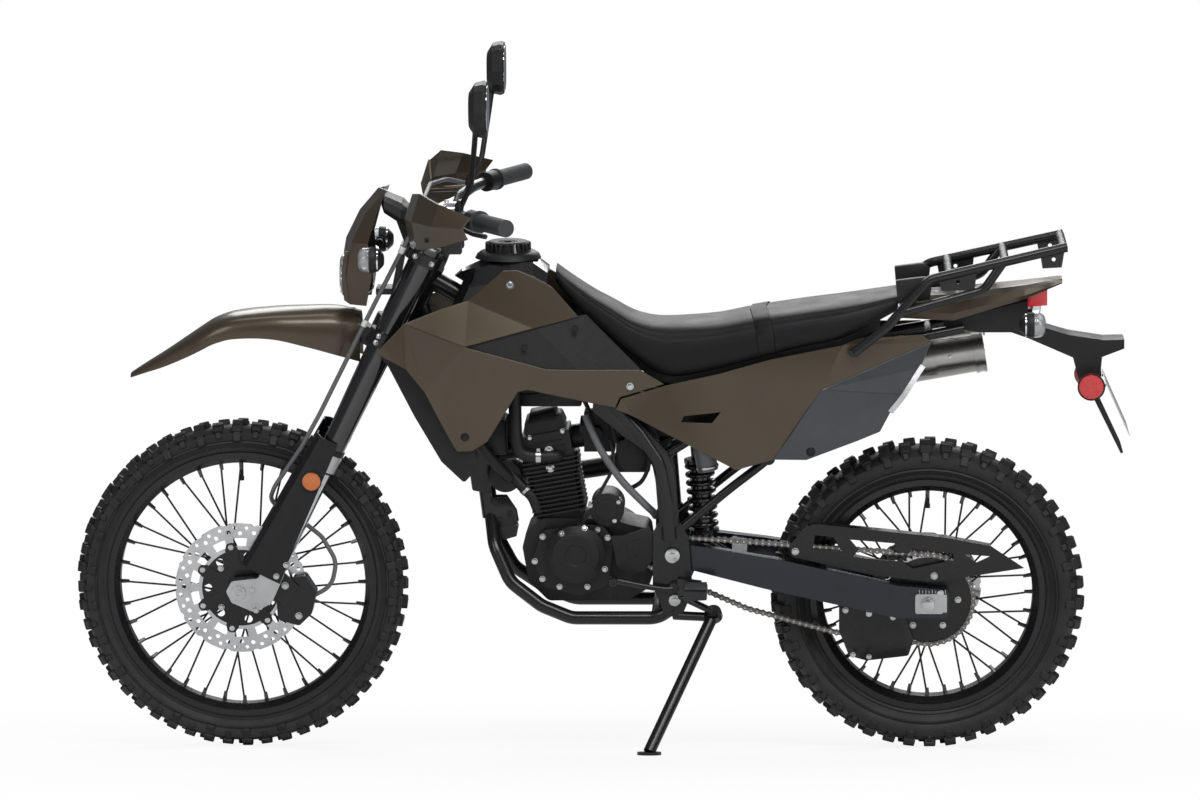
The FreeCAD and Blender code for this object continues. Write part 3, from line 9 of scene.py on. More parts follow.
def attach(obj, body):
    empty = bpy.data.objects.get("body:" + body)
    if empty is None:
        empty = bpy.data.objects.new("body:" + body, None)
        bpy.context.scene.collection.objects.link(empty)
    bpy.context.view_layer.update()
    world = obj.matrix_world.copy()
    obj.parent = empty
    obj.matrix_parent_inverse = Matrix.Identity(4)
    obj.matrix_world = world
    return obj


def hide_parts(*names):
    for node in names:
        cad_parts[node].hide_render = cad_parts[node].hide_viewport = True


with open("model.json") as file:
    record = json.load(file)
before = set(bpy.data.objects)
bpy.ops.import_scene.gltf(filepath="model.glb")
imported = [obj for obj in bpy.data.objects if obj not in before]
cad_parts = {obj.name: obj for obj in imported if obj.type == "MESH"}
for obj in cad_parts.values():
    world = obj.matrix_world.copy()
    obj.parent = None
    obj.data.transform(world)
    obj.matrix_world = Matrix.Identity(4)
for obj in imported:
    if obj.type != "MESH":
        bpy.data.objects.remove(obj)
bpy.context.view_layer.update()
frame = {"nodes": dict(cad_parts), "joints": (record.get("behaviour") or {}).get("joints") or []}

bl_info = {
    "name": "Dual Sport Motorcycle",
    "version": (1, 0, 0),
    "blender": (4, 5, 0),
    "location": "View3D > Sidebar > Motorcycle",
    "description": "Dresses the packed motorcycle with treads, covers, lamps, trim and finishes",
    "category": "Object",
}

NODES = frame["nodes"]
JOINTS = {joint["name"]: joint for joint in frame["joints"]}

# Lengths in the lists below are millimetres of the upright machine:
# X forward from the rear axle, Y to the machine's left, Z up from the ground.
WHEELBASE = 1380.0
FRONT_RADIUS = 335.0
REAR_RADIUS = 315.0
RAKE = math.radians(26.0)
AXLE_LEAD = 65.0
CLAMP_HEIGHT = 784
FORK_SPREAD = 88
MM = Matrix.Scale(0.001, 4)
ALONG, ACROSS, UP, MIDDLE = (1, 0, 0), (0, 1, 0), (0, 0, 1), (0, 0, 0)
SIDES = (1, -1)


def upright_machine():
    """Turns the upright machine's millimetres into the parked frame's metres."""
    rear = Vector(JOINTS["rear_wheel_spin"]["pos_m"])
    front = Vector(JOINTS["front_wheel_spin"]["pos_m"])
    across = Vector(JOINTS["rear_wheel_spin"]["axis"]).normalized()
    run = (front - rear).normalized()
    lift = run.cross(across)
    slope = math.atan2(FRONT_RADIUS - REAR_RADIUS, WHEELBASE)
    forward = run * math.cos(slope) - lift * math.sin(slope)
    up = run * math.sin(slope) + lift * math.cos(slope)
    turn = Matrix((forward, across, up)).transposed().to_4x4()
    return Matrix.Translation(rear - up * REAR_RADIUS / 1000) @ turn @ MM


MACHINE = upright_machine()
FRONT_AXLE = Vector((WHEELBASE, 0, FRONT_RADIUS))
REAR_AXLE = Vector((0, 0, REAR_RADIUS))
FORK_FOOT = FRONT_AXLE - Vector((math.cos(RAKE), 0, math.sin(RAKE))) * AXLE_LEAD
CLAMP_TOP = FORK_FOOT + Vector((-math.sin(RAKE), 0, math.cos(RAKE))) * CLAMP_HEIGHT
FRONT_HUB = MACHINE @ Matrix.Translation(FRONT_AXLE)
REAR_HUB = MACHINE @ Matrix.Translation(REAR_AXLE)

# Where a piece is drawn and the body that it rides on
ON_FRAME = {"body": "chassis", "place": MACHINE}
ON_STEERING = {"body": "steering", "place": MACHINE}
ON_FORK = {"body": "steering",
           "place": MACHINE @ Matrix.Translation(FORK_FOOT) @ Matrix.Rotation(-RAKE, 4, "Y")}
ON_BARS = {"body": "steering", "place": MACHINE @ Matrix.Translation(CLAMP_TOP)}
ON_FRONT_WHEEL = {"body": "front_wheel", "place": FRONT_HUB}
ON_REAR_WHEEL = {"body": "rear_wheel", "place": REAR_HUB}

FINISHES, GROUPS, TREES = {}, {}, {}


# Shader helpers and the shared groups
def node(tree, kind, inputs=None, **settings):
    """Adds a shader node; an input takes the output of another node or a value."""
    made = tree.nodes.new("ShaderNode" + kind)
    for key, value in settings.items():
        setattr(made, key, value)
    for label, amount in (inputs or {}).items():
        if isinstance(amount, bpy.types.NodeSocket):
            tree.links.new(amount, made.inputs[label])
        else:
            made.inputs[label].default_value = amount
    return made


def noise_of(tree, vector, scale, detail, rough=0.55):
    return node(tree, "TexNoise", {"Vector": vector, "Scale": scale, "Detail": detail,
                                   "Roughness": rough}).outputs["Fac"]


def ranged(tree, value, low, high, out_low=0.0, out_high=1.0):
    return node(tree, "MapRange", {"Value": value, "From Min": low, "From Max": high, "To Min": out_low,
                                   "To Max": out_high}).outputs["Result"]


def figure(tree, kind, first, second):
    return node(tree, "Math", {0: first, 1: second}, operation=kind).outputs[0]


def mixed(tree, factor, first, second):
    return node(tree, "Mix", {"Factor": factor, "A": first, "B": second}, data_type="RGBA").outputs["Result"]


def mixed_shader(tree, factor, first, second):
    return node(tree, "MixShader", {"Fac": factor, 1: first, 2: second}).outputs["Shader"]


GREY = (0.5, 0.5, 0.5, 1)
SOCKETS = {"RGBA": "NodeSocketColor", "VECTOR": "NodeSocketVector", "VALUE": "NodeSocketFloat"}


def new_group(name, values):
    """Node group with an input per value: four numbers are a colour, three a vector, one an amount."""
    group = bpy.data.node_groups.new(name, "ShaderNodeTree")
    for label, value in values.items():
        kind = {4: "RGBA", 3: "VECTOR"}[len(value)] if isinstance(value, tuple) else "VALUE"
        group.interface.new_socket(label, in_out="INPUT", socket_type=SOCKETS[kind]).default_value = value
    return group, group.nodes.new("NodeGroupInput").outputs


def deliver(group, **results):
    """Ends a node group with its outputs."""
    for label, source in results.items():
        group.interface.new_socket(label, in_out="OUTPUT", socket_type=SOCKETS[source.type])
    end = group.nodes.new("NodeGroupOutput")
    for label, source in results.items():
        group.links.new(source, end.inputs[label])
    return group


def build_surface_group():
    """Uneven tone and gloss of a finish, with a fine height."""
    group, given = new_group("Uneven Finish", {"Vector": MIDDLE, "Color": GREY, "Shade": (0.4, 0.4, 0.4, 1),
                                               "Scale": 20.0, "Gloss Low": 0.3, "Gloss High": 0.4})
    noise = noise_of(group, given["Vector"], given["Scale"], 6.0)
    tone = mixed(group, ranged(group, noise, 0.32, 0.7), given["Shade"], given["Color"])
    gloss = ranged(group, noise, 0.3, 0.7, given["Gloss High"], given["Gloss Low"])
    return deliver(group, Color=tone, Roughness=gloss, Height=noise)


def build_grain_group():
    """Leathery or pebbled grain of moulded plastic, vinyl and castings."""
    group, given = new_group("Pebbled Grain", {"Vector": MIDDLE, "Scale": 400.0, "Softness": 0.5})
    cells = node(group, "TexVoronoi", {"Vector": given["Vector"], "Scale": given["Scale"],
                                       "Smoothness": given["Softness"]},
                 feature="SMOOTH_F1").outputs["Distance"]
    noise = noise_of(group, given["Vector"], figure(group, "MULTIPLY", given["Scale"], 0.35), 2.0)
    height = figure(group, "ADD", cells, figure(group, "MULTIPLY", noise, 0.5))
    return deliver(group, Height=height)


def build_dust_group():
    """Thin film of dust that settles on faces that look up and in the unevenness."""
    group, given = new_group("Settled Dust", {"Vector": MIDDLE, "Color": GREY, "Dust": (0.32, 0.3, 0.27, 1),
                                              "Amount": 0.1, "Roughness": 0.4})
    split = node(group, "SeparateXYZ", {"Vector": node(group, "NewGeometry").outputs["Normal"]})
    upward = ranged(group, split.outputs["Z"], -0.1, 1.0, 0.25, 1.0)
    patches = ranged(group, noise_of(group, given["Vector"], 35.0, 5.0, 0.65), 0.35, 0.75)
    film = figure(group, "MULTIPLY", figure(group, "MULTIPLY", upward, patches), given["Amount"])
    rough = figure(group, "ADD", given["Roughness"], figure(group, "MULTIPLY", film, 0.4))
    return deliver(group, Color=mixed(group, film, given["Color"], given["Dust"]), Roughness=rough)


def build_brushed_group():
    """Fine lines that a belt or a lathe leaves on bare metal."""
    group, given = new_group("Brushed Lines",
                             {"Vector": MIDDLE, "Stretch": (1.0, 40.0, 40.0), "Roughness": 0.3,
                                               "Spread": 0.1})
    stretched = node(group, "VectorMath", {0: given["Vector"], 1: given["Stretch"]}, operation="MULTIPLY")
    noise = noise_of(group, stretched.outputs["Vector"], 30.0, 3.0)
    swing = figure(group, "MULTIPLY", figure(group, "SUBTRACT", noise, 0.5), given["Spread"])
    return deliver(group, Roughness=figure(group, "ADD", given["Roughness"], swing), Height=noise)


def placed_group(tree, key, **values):
    """One of the shared groups, with its outputs."""
    inputs = {label.replace("_", " "): amount for label, amount in values.items()}
    return node(tree, "Group", inputs, node_tree=GROUPS[key]).outputs


def shaded(color, factor):
    return (color[0] * factor, color[1] * factor, color[2] * factor, 1.0)


def surface_of(name, make):
    """Material whose surface is the shader that a function makes of its tree and the object's coordinates."""
    material = bpy.data.materials.new(name)
    material.use_nodes = True
    tree = material.node_tree
    tree.nodes.clear()
    shader = make(tree, node(tree, "TexCoord").outputs["Object"])
    node(tree, "OutputMaterial", {"Surface": shader})
    return material


def finish_of(name, color, rough=(0.3, 0.4), metal=0.0, coat=0.0, grain=0.0, grain_scale=500.0, dust=0.06,
              shade=0.8, patch=18.0, brushed=None, specular=0.5):
    """One finish: an uneven tone, an optional grain or brushing, and a film of dust."""
    def make(tree, place):
        tone = placed_group(tree, "finish", Vector=place, Color=tuple(color) + (1.0,),
                            Shade=shaded(color, shade), Scale=patch, Gloss_Low=rough[0], Gloss_High=rough[1])
        gloss, height, strength, distance = tone["Roughness"], tone["Height"], 0.03, 0.001
        if brushed:
            lines = placed_group(tree, "brushed", Vector=place, Stretch=brushed, Roughness=rough[0],
                                 Spread=0.16)
            gloss, height, strength, distance = lines["Roughness"], lines["Height"], 0.08, 0.0006
        if grain:
            pebbles = placed_group(tree, "grain", Vector=place, Scale=grain_scale, Softness=0.5)
            height, strength, distance = pebbles["Height"], grain, 0.0012
        film = placed_group(tree, "dust", Vector=place, Color=tone["Color"], Amount=dust, Roughness=gloss)
        bump = node(tree, "Bump", {"Strength": strength, "Distance": distance, "Height": height})
        return node(tree, "BsdfPrincipled", {
            "Base Color": film["Color"], "Roughness": film["Roughness"], "Normal": bump.outputs["Normal"],
            "Metallic": metal, "Coat Weight": coat, "Coat Roughness": 0.12,
            "Specular IOR Level": specular}).outputs["BSDF"]

    FINISHES[name] = surface_of(name, make)


def lens_of(name, color, rough, clear):
    """Moulded lens: coloured clear plastic with fine vertical flutes."""
    def make(tree, place):
        tone = placed_group(tree, "finish", Vector=place, Color=tuple(color) + (1.0,),
                            Shade=shaded(color, 0.86), Scale=60.0, Gloss_Low=rough, Gloss_High=rough + 0.05)
        flutes = placed_group(tree, "brushed", Vector=place, Stretch=(30.0, 30.0, 1.0), Roughness=rough,
                              Spread=0.0)
        bump = node(tree, "Bump", {"Strength": 0.25, "Distance": 0.001, "Height": flutes["Height"]})
        return node(tree, "BsdfPrincipled", {
            "Base Color": tone["Color"], "Roughness": tone["Roughness"], "Normal": bump.outputs["Normal"],
            "Transmission Weight": clear, "IOR": 1.49, "Coat Weight": 0.6,
            "Coat Roughness": 0.03}).outputs["BSDF"]

    FINISHES[name] = surface_of(name, make)


def make_finishes(look):
    GROUPS["finish"] = build_surface_group()
    GROUPS["grain"] = build_grain_group()
    GROUPS["dust"] = build_dust_group()
    GROUPS["brushed"] = build_brushed_group()
    finish_of("bronze_paint", look.paint, (0.3, 0.4), metal=0.55, coat=0.3, grain=0.02, grain_scale=1500.0,
              shade=0.9, patch=6.0, dust=0.02, specular=0.35)
    finish_of("grey_plastic", look.number_grey, (0.28, 0.4), coat=0.25, grain=0.03, grain_scale=1200.0)
    finish_of("black_plastic", (0.008, 0.008, 0.009), (0.4, 0.52), grain=0.2, grain_scale=900.0, dust=0.03,
              specular=0.3)
    finish_of("black_gloss", (0.008, 0.008, 0.009), (0.12, 0.2), coat=0.8, dust=0.03)
    finish_of("black_paint", (0.007, 0.007, 0.008), (0.22, 0.34), coat=0.2, grain=0.03, grain_scale=700.0,
              dust=0.02, specular=0.3)
    finish_of("navy_alloy", (0.008, 0.010, 0.018), (0.2, 0.3), metal=0.5, coat=0.5, grain=0.02,
              grain_scale=900.0, dust=0.02)
    finish_of("cast_black", (0.010, 0.010, 0.011), (0.36, 0.5), metal=0.2, grain=0.3, grain_scale=650.0,
              dust=0.03, specular=0.35)
    finish_of("silver_alloy", (0.55, 0.55, 0.56), (0.26, 0.36), metal=1.0, grain=0.06, grain_scale=800.0,
              dust=0.04)
    finish_of("chrome_tube", (0.72, 0.73, 0.75), (0.06, 0.12), metal=1.0, brushed=(60.0, 60.0, 1.0), dust=0.0)
    finish_of("disc_steel", (0.62, 0.62, 0.63), (0.24, 0.34), metal=1.0, brushed=(1.0, 60.0, 1.0), dust=0.02)
    finish_of("muffler_steel", (0.42, 0.41, 0.39), (0.24, 0.36), metal=1.0, brushed=(1.0, 50.0, 50.0),
              dust=0.03)
    finish_of("header_steel", (0.05, 0.047, 0.045), (0.35, 0.5), metal=0.8, grain=0.05, dust=0.08)
    finish_of("bolt_steel", (0.6, 0.6, 0.6), (0.2, 0.32), metal=1.0, grain=0.03, dust=0.02)
    finish_of("chain_steel", (0.2, 0.19, 0.18), (0.3, 0.42), metal=1.0, grain=0.05, dust=0.08)
    finish_of("dark_steel", (0.05, 0.05, 0.052), (0.3, 0.42), metal=0.9, grain=0.08, grain_scale=700.0)
    finish_of("spring_black", (0.006, 0.006, 0.007), (0.16, 0.24), coat=0.5)
    finish_of("spoke_black", (0.012, 0.012, 0.012), (0.25, 0.35), metal=0.4)
    finish_of("tyre_rubber", (0.013, 0.013, 0.014), (0.5, 0.68), grain=0.22, dust=0.07, specular=0.35)
    finish_of("grip_rubber", (0.045, 0.047, 0.05), (0.55, 0.7), grain=0.25, grain_scale=900.0, specular=0.35)
    finish_of("seat_vinyl", (0.006, 0.006, 0.007), (0.4, 0.52), grain=0.3, grain_scale=620.0, dust=0.01,
              specular=0.2)
    finish_of("seat_strap", (0.006, 0.006, 0.006), (0.45, 0.55), grain=0.3, grain_scale=1400.0, dust=0.01,
              specular=0.2)
    finish_of("hose_grey", (0.11, 0.11, 0.115), (0.4, 0.5), grain=0.06)
    finish_of("white_band", (0.65, 0.65, 0.65), (0.4, 0.5), dust=0.02)
    finish_of("plate_blank", (0.62, 0.62, 0.6), grain=0.02)
    finish_of("mirror_face", (0.75, 0.77, 0.8), (0.02, 0.03), metal=1.0, dust=0.0)
    finish_of("reflector", (0.8, 0.81, 0.83), (0.06, 0.1), metal=1.0, dust=0.0)
    finish_of("dial_face", (0.02, 0.022, 0.025), (0.1, 0.15), coat=1.0, dust=0.0)
    lens_of("clear_lens", (0.86, 0.88, 0.9), 0.04, 0.75)
    lens_of("orange_lens", (0.62, 0.15, 0.018), 0.12, 0.2)
    lens_of("red_lens", (0.6, 0.012, 0.014), 0.08, 0.2)


PAINTED = {
    "bronze_paint": ("shrouds", "side_panels", "hand_guards", "headlight_mask", "front_fender", "tail_cowl"),
    "grey_plastic": ("number_panels",),
    "black_plastic": ("inner_panels", "fork_guards", "rear_under_fender", "hand_controls", "instrument_box",
                      "air_box", "mirrors", "front_turn_signals", "rear_turn_signals"),
    "hose_grey": ("brake_hose",),
    "black_gloss": ("fuel_tank", "fork_outer_tubes"),
    "spring_black": ("shock_absorber",),
    "black_paint": ("main_frame", "side_stand", "luggage_rack", "fork_clamps", "handlebar", "chain_guard",
                    "front_caliper", "front_rim", "rear_rim", "front_hub", "rear_hub"),
    "navy_alloy": ("swingarm",),
    "cast_black": ("crankcase", "generator_cover", "clutch_cover", "cylinder", "cylinder_head"),
    "silver_alloy": ("fork_lower_legs", "front_axle", "rear_axle"),
    "disc_steel": ("front_brake_disc", "rear_brake_disc", "rear_sprocket"),
    "chain_steel": ("chain",),
    "muffler_steel": ("muffler",),
    "header_steel": ("exhaust_header",),
    "dark_steel": ("footpegs", "front_sprocket"),
    "spoke_black": ("front_spokes", "rear_spokes"),
    "tyre_rubber": ("front_tyre", "rear_tyre"),
    "grip_rubber": ("grips",),
    "seat_vinyl": ("seat",),
    "clear_lens": ("headlamp",),
    "red_lens": ("tail_lamp_and_reflectors",),
    "plate_blank": ("number_plate",),
}


# Helpers of the shapes
def at(x, y, z):
    return Matrix.Translation((x, y, z))


def tipped(degrees, axis="Y"):
    return Matrix.Rotation(math.radians(degrees), 4, axis)


def sided(place, side):
    return Vector((place[0], place[1] * side, place[2]))


def aimed(centre, axis):
    """Frame whose Z runs along an axis from a centre."""
    return Matrix.Translation(centre) @ Vector(axis).to_track_quat("Z", "Y").to_matrix().to_4x4()


def fillet(bm, edges, width, segments=2):
    bmesh.ops.bevel(bm, geom=list(edges), offset=width, offset_type="OFFSET", affect="EDGES",
                    segments=segments, profile=0.5, material=-1, clamp_overlap=True)


def creases(geom, angle):
    edges = {edge for vert in geom for edge in vert.link_edges}
    return [edge for edge in edges if edge.is_manifold and edge.calc_face_angle(0) > angle]


def grown_from(grown, kind):
    return [item for item in grown["geom"] if isinstance(item, kind)]


# Shapes: each returns a function that draws it into a bmesh, in millimetres; side -1 mirrors its place
def pair(*shapes):
    """The shapes on the machine's left and on its right."""
    def draw(bm, side=1):
        for way in SIDES:
            for shape in shapes:
                shape(bm, way * side)
    return draw


def turned(radius, length, centre, axis=ACROSS, sides=24, round_by=0.0, top=None):
    """Cylinder or cone round an axis, from its middle point, with its rims rounded."""
    def draw(bm, side=1):
        made = bmesh.ops.create_cone(bm, cap_ends=True, segments=sides, radius1=radius,
                                     radius2=radius if top is None else top, depth=length,
                                     matrix=aimed(sided(centre, side), sided(axis, side)))
        if round_by:
            fillet(bm, creases(made["verts"], 1.0), round_by)
    return draw


def block(size, place, taper=1.0, round_by=0.0, segments=2):
    """Box round a centre or in a frame, with its upper face (local +Z) drawn in by the taper."""
    def draw(bm, side=1):
        verts = bmesh.ops.create_cube(bm, size=1.0)["verts"]
        for vert in verts:
            if vert.co.z > 0:
                vert.co.x *= taper
                vert.co.y *= taper
        bmesh.ops.scale(bm, vec=size, verts=verts)
        where = place if isinstance(place, Matrix) else Matrix.Translation(sided(place, side))
        bmesh.ops.transform(bm, matrix=where, verts=verts)
        if round_by:
            fillet(bm, {edge for vert in verts for edge in vert.link_edges}, round_by, segments)
    return draw


def lathe(profile, centre=MIDDLE, axis=ACROSS, steps=64, closed=False):
    """Spins a profile of (distance along the axis, radius) points round the axis."""
    def draw(bm, side=1):
        middle, run = sided(centre, side), sided(axis, side)
        line = [bm.verts.new(aimed(middle, run) @ Vector((radius, 0, along))) for along, radius in profile]
        edges = [bm.edges.new(ends) for ends in zip(line[:-1], line[1:])]
        if closed:
            edges.append(bm.edges.new((line[-1], line[0])))
        bmesh.ops.spin(bm, geom=line + edges, cent=middle, axis=run.normalized(), angle=2 * math.pi,
                       steps=steps, use_merge=True)
        bmesh.ops.remove_doubles(bm, verts=bm.verts, dist=0.01)
    return draw


def plate(outline, near, far, round_by=0.0, turn=None):
    """Flat plate from a side-view outline of (x, z) points, between two distances from the middle plane."""
    def draw(bm, side=1):
        face = bm.faces.new([bm.verts.new((x, near * side, z)) for x, z in outline])
        grown = grown_from(bmesh.ops.extrude_face_region(bm, geom=[face]), bmesh.types.BMVert)
        bmesh.ops.translate(bm, vec=(0, (far - near) * side, 0), verts=grown)
        bmesh.ops.recalc_face_normals(bm, faces=bm.faces)
        whole = list(face.verts) + grown
        if turn:
            bmesh.ops.transform(bm, matrix=turn, verts=whole)
        if round_by:
            fillet(bm, creases(whole, 0.6), round_by)
    return draw


def bolt(centre, axis, radius, height=4.0, socket=True):
    """Hexagon or button head with a flange."""
    def draw(bm, side=1):
        run = sided(axis, side).normalized()
        foot = sided(centre, side)
        turned(radius * 1.35, 1.4, foot + run * 0.7, run, 20, top=radius * 1.2)(bm)
        turned(radius, height, foot + run * (1.2 + height / 2), run, 20 if socket else 6, 0.5,
               radius * 0.88)(bm)
        if socket:
            turned(radius * 0.5, 0.6, foot + run * (1.5 + height), run, 6)(bm)
    return draw


def tube(points, radius, sides=12):
    """Round hose through points, smoothed along its run."""
    steps = 6

    def draw(bm, side=1):
        path = []
        knots = [sided(point, side) for point in points]
        for i in range(len(knots) - 1):
            a, b, c, d = knots[max(i - 1, 0)], knots[i], knots[i + 1], knots[min(i + 2, len(knots) - 1)]
            for step in range(steps):
                t = step / steps
                path.append(0.5 * ((2 * b) + (c - a) * t + (2 * a - 5 * b + 4 * c - d) * t * t
                                   + (3 * b - a - 3 * c + d) * t ** 3))
        path.append(knots[-1])
        ahead = (path[1] - path[0]).normalized()
        ring = bmesh.ops.create_circle(bm, cap_ends=True, segments=sides, radius=radius,
                                       matrix=aimed(path[0], ahead))["verts"]
        edges = {edge for vert in ring for edge in vert.link_edges}
        for i in range(1, len(path)):
            grown = bmesh.ops.extrude_edge_only(bm, edges=list(edges))
            ring = grown_from(grown, bmesh.types.BMVert)
            edges = {edge for edge in grown_from(grown, bmesh.types.BMEdge)
                     if edge.verts[0] in ring and edge.verts[1] in ring}
            after = (path[min(i + 1, len(path) - 1)] - path[i - 1]).normalized()
            turn = ahead.rotation_difference(after).to_matrix()
            for vert in ring:
                vert.co = path[i] + turn @ (vert.co - path[i - 1])
            ahead = after
        bmesh.ops.contextual_create(bm, geom=list(edges))
    return draw


def loft(rings):
    """Closed skin through rings of the same number of places."""
    def draw(bm, side=1):
        made = []
        for ring in rings:
            verts = [bm.verts.new(sided(place, side)) for place in ring]
            made.append([bm.edges.new((verts[i], verts[(i + 1) % len(verts)])) for i in range(len(verts))])
        for near, far in zip(made[:-1], made[1:]):
            bmesh.ops.bridge_loops(bm, edges=near + far)
        for end in (made[0], made[-1]):
            bmesh.ops.contextual_create(bm, geom=end)
    return draw


def ring_of(count, radius, start=0.0):
    """Places on a circle in the X-Z plane."""
    turns = [start + 2 * math.pi * i / count for i in range(count)]
    return [(radius * math.cos(turn), radius * math.sin(turn)) for turn in turns]


def squared_ring(wide, tall, power, count=32):
    """Places on a rounded square; the smaller the power, the squarer it is."""
    return [(wide * math.copysign(abs(x) ** power, x), tall * math.copysign(abs(y) ** power, y))
            for x, y in ring_of(count, 1.0)]


def between(stations, x):
    """Smooth reading of a table of stations along the machine."""
    rows = sorted(stations)
    x = min(max(x, rows[0][0]), rows[-1][0])
    i = max(k for k in range(len(rows) - 1) if rows[k][0] <= x)
    a, b, c, d = rows[max(i - 1, 0)], rows[i], rows[i + 1], rows[min(i + 2, len(rows) - 1)]
    run = c[0] - b[0]
    t = (x - b[0]) / run
    found = []
    for k in range(1, len(b)):
        start = (c[k] - a[k]) / (c[0] - a[0]) * run
        end = (d[k] - b[k]) / (d[0] - b[0]) * run
        found.append((2 * t ** 3 - 3 * t * t + 1) * b[k] + (t ** 3 - 2 * t * t + t) * start
                     + (3 * t * t - 2 * t ** 3) * c[k] + (t ** 3 - t * t) * end)
    return found


# Pieces
def mesh_of(bm, name, place=Matrix.Identity(4)):
    bmesh.ops.transform(bm, matrix=place, verts=bm.verts)
    data = bpy.data.meshes.new(name)
    bm.to_mesh(data)
    bm.free()
    return data


def drawn(shapes):
    bm = bmesh.new()
    for shape in shapes:
        shape(bm)
    return bm


def piece(name, finish, *shapes, body="chassis", place=MACHINE, smooth=35.0, stands_for=(), slot=None,
          merge=False):
    """Draws shapes as one piece that rides on a body."""
    bm = drawn(shapes)
    if merge:
        bmesh.ops.remove_doubles(bm, verts=bm.verts, dist=0.005)
    bmesh.ops.recalc_face_normals(bm, faces=bm.faces)
    return add_mesh(mesh_of(bm, name, place), name, finish, body, smooth, stands_for)


def add_mesh(data, name, finish, body="chassis", smooth=35.0, stands_for=()):
    for polygon in data.polygons:
        polygon.use_smooth = True
    data.set_sharp_from_angle(angle=math.radians(smooth))
    made = bpy.data.objects.new(name, data)
    bpy.context.scene.collection.objects.link(made)
    data.materials.append(FINISHES[finish])
    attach(made, body)
    if stands_for:
        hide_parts(*stands_for)
    return made


def cut_through(source, name, outlines, near, far, finish, body="chassis", place=MACHINE):
    """Copy of a construction piece with windows cut through it."""
    cutter_name = name + "_windows"
    cutter_data = mesh_of(drawn([plate(outline, near, far) for outline in outlines]), cutter_name, place)
    cutter = bpy.data.objects.new(cutter_name, cutter_data)
    whole = bpy.data.objects.new(name, NODES[source].data.copy())
    for item in (cutter, whole):
        bpy.context.scene.collection.objects.link(item)
    cut = whole.modifiers.new("windows", "BOOLEAN")
    cut.operation = "DIFFERENCE"
    cut.solver = "EXACT"
    cut.object = cutter
    bpy.context.view_layer.update()
    data = bpy.data.meshes.new_from_object(whole.evaluated_get(bpy.context.evaluated_depsgraph_get()))
    bpy.data.objects.remove(whole)
    bpy.data.objects.remove(cutter)
    data.materials.clear()
    return add_mesh(data, name, finish, body, 30.0, (source,))


def softened(source, width, segments, angle=0.12, smooth=50.0, finish="bronze_paint", body="chassis"):
    """Copy of a construction piece with its creases rounded, in place of the plain one."""
    bm = bmesh.new()
    bm.from_mesh(NODES[source].data)
    bmesh.ops.remove_doubles(bm, verts=bm.verts, dist=0.00002)
    bmesh.ops.dissolve_limit(bm, angle_limit=0.02, verts=bm.verts, edges=bm.edges)
    fillet(bm, [edge for edge in bm.edges if edge.is_manifold and edge.calc_face_angle(0) > angle], width,
           segments)
    name = source + "_finished"
    made = add_mesh(mesh_of(bm, name), name, finish, body, smooth, (source,))
    even = made.modifiers.new("even facets", "WEIGHTED_NORMAL")
    even.keep_sharp = True
    even.weight = 90


def tree_of(source):
    """Search tree of a construction piece, in the upright machine's millimetres."""
    if source not in TREES:
        bm = bmesh.new()
        bm.from_mesh(NODES[source].data)
        bmesh.ops.transform(bm, matrix=MACHINE.inverted(), verts=bm.verts)
        TREES[source] = BVHTree.FromBMesh(bm)
        bm.free()
    return TREES[source]


def seated(sources, x, z, side=1):
    """Where a line across the machine, from one side, first meets the named pieces."""
    outside = 600
    found = None
    for source in sources:
        spot, normal, _, _ = tree_of(source).ray_cast(Vector((x, side * outside, z)), Vector((0, -side, 0)))
        if spot and (found is None or spot.y * side > found[0].y * side):
            found = (spot, normal)
    if found is None:
        raise RuntimeError("nothing to seat a fastener on at %d, %d" % (x, z))
    return found


def fasteners(name, sources, places, side=1, finish="bolt_steel", body="chassis"):
    """Bolt heads on the faces that they hold, at (x, z, radius)."""
    height = 4.0 if finish == "bolt_steel" else 3.0
    piece(name, finish, *[bolt(*seated(sources, x, z, side), radius, height) for x, z, radius in places],
          body=body)


def paint_faces(data, finish, test, place=MACHINE):
    """Gives a finish to those faces of a mesh whose middle passes a test."""
    index = len(data.materials)
    data.materials.append(FINISHES[finish])
    back = place.inverted()
    for polygon in data.polygons:
        if test(back @ polygon.center):
            polygon.material_index = index


def within(radius):
    """Test for places inside a circle round an axle."""
    return lambda place: math.hypot(place.x, place.z) < radius


class MotorcycleLook(bpy.types.PropertyGroup):
    """Colours and amounts that an owner would change."""

    paint: bpy.props.FloatVectorProperty(name="Paint", description="Colour of the metallic body panels",
                                         subtype="COLOR", default=(0.072, 0.055, 0.036), min=0, max=1)
    number_grey: bpy.props.FloatVectorProperty(name="Number Panel",
                                               description="Colour of the side number panels",
                                               subtype="COLOR", default=(0.031, 0.034, 0.041), min=0, max=1)
    floor_tone: bpy.props.FloatProperty(name="Floor Tone", description="Brightness of the studio floor",
                                        default=0.88, min=0, max=1, subtype="FACTOR")


class MOTO_OT_finishes(bpy.types.Operator):
    """Builds every finish and gives it to the construction's own pieces"""

    bl_idname = "moto.finishes"
    bl_label = "Paint and Finishes"

    def execute(self, context):
        make_finishes(context.scene.motorcycle_look)
        for finish, names in PAINTED.items():
            for name in names:
                data = NODES[name].data
                data.materials.clear()
                data.materials.append(FINISHES[finish])
        return {"FINISHED"}


CAMERA_LENS = 181
CAMERA_REACH = 12
CAMERA_SWING = math.radians(2)
FLOOR_HALF = 40
# Place, width and height in metres, and power in watts
SOFTBOXES = (((-1.2, 4.9, 4.9), 4.0, 2.0, 230), ((3.2, 4.2, 2.4), 1.6, 2.4, 50),
             ((-3.6, 4.0, 2.0), 1.4, 2.4, 50),
             ((0.0, -4.6, 4.2), 4.0, 2.5, 150), ((0.4, 0.8, 5.2), 4.0, 0.9, 40))


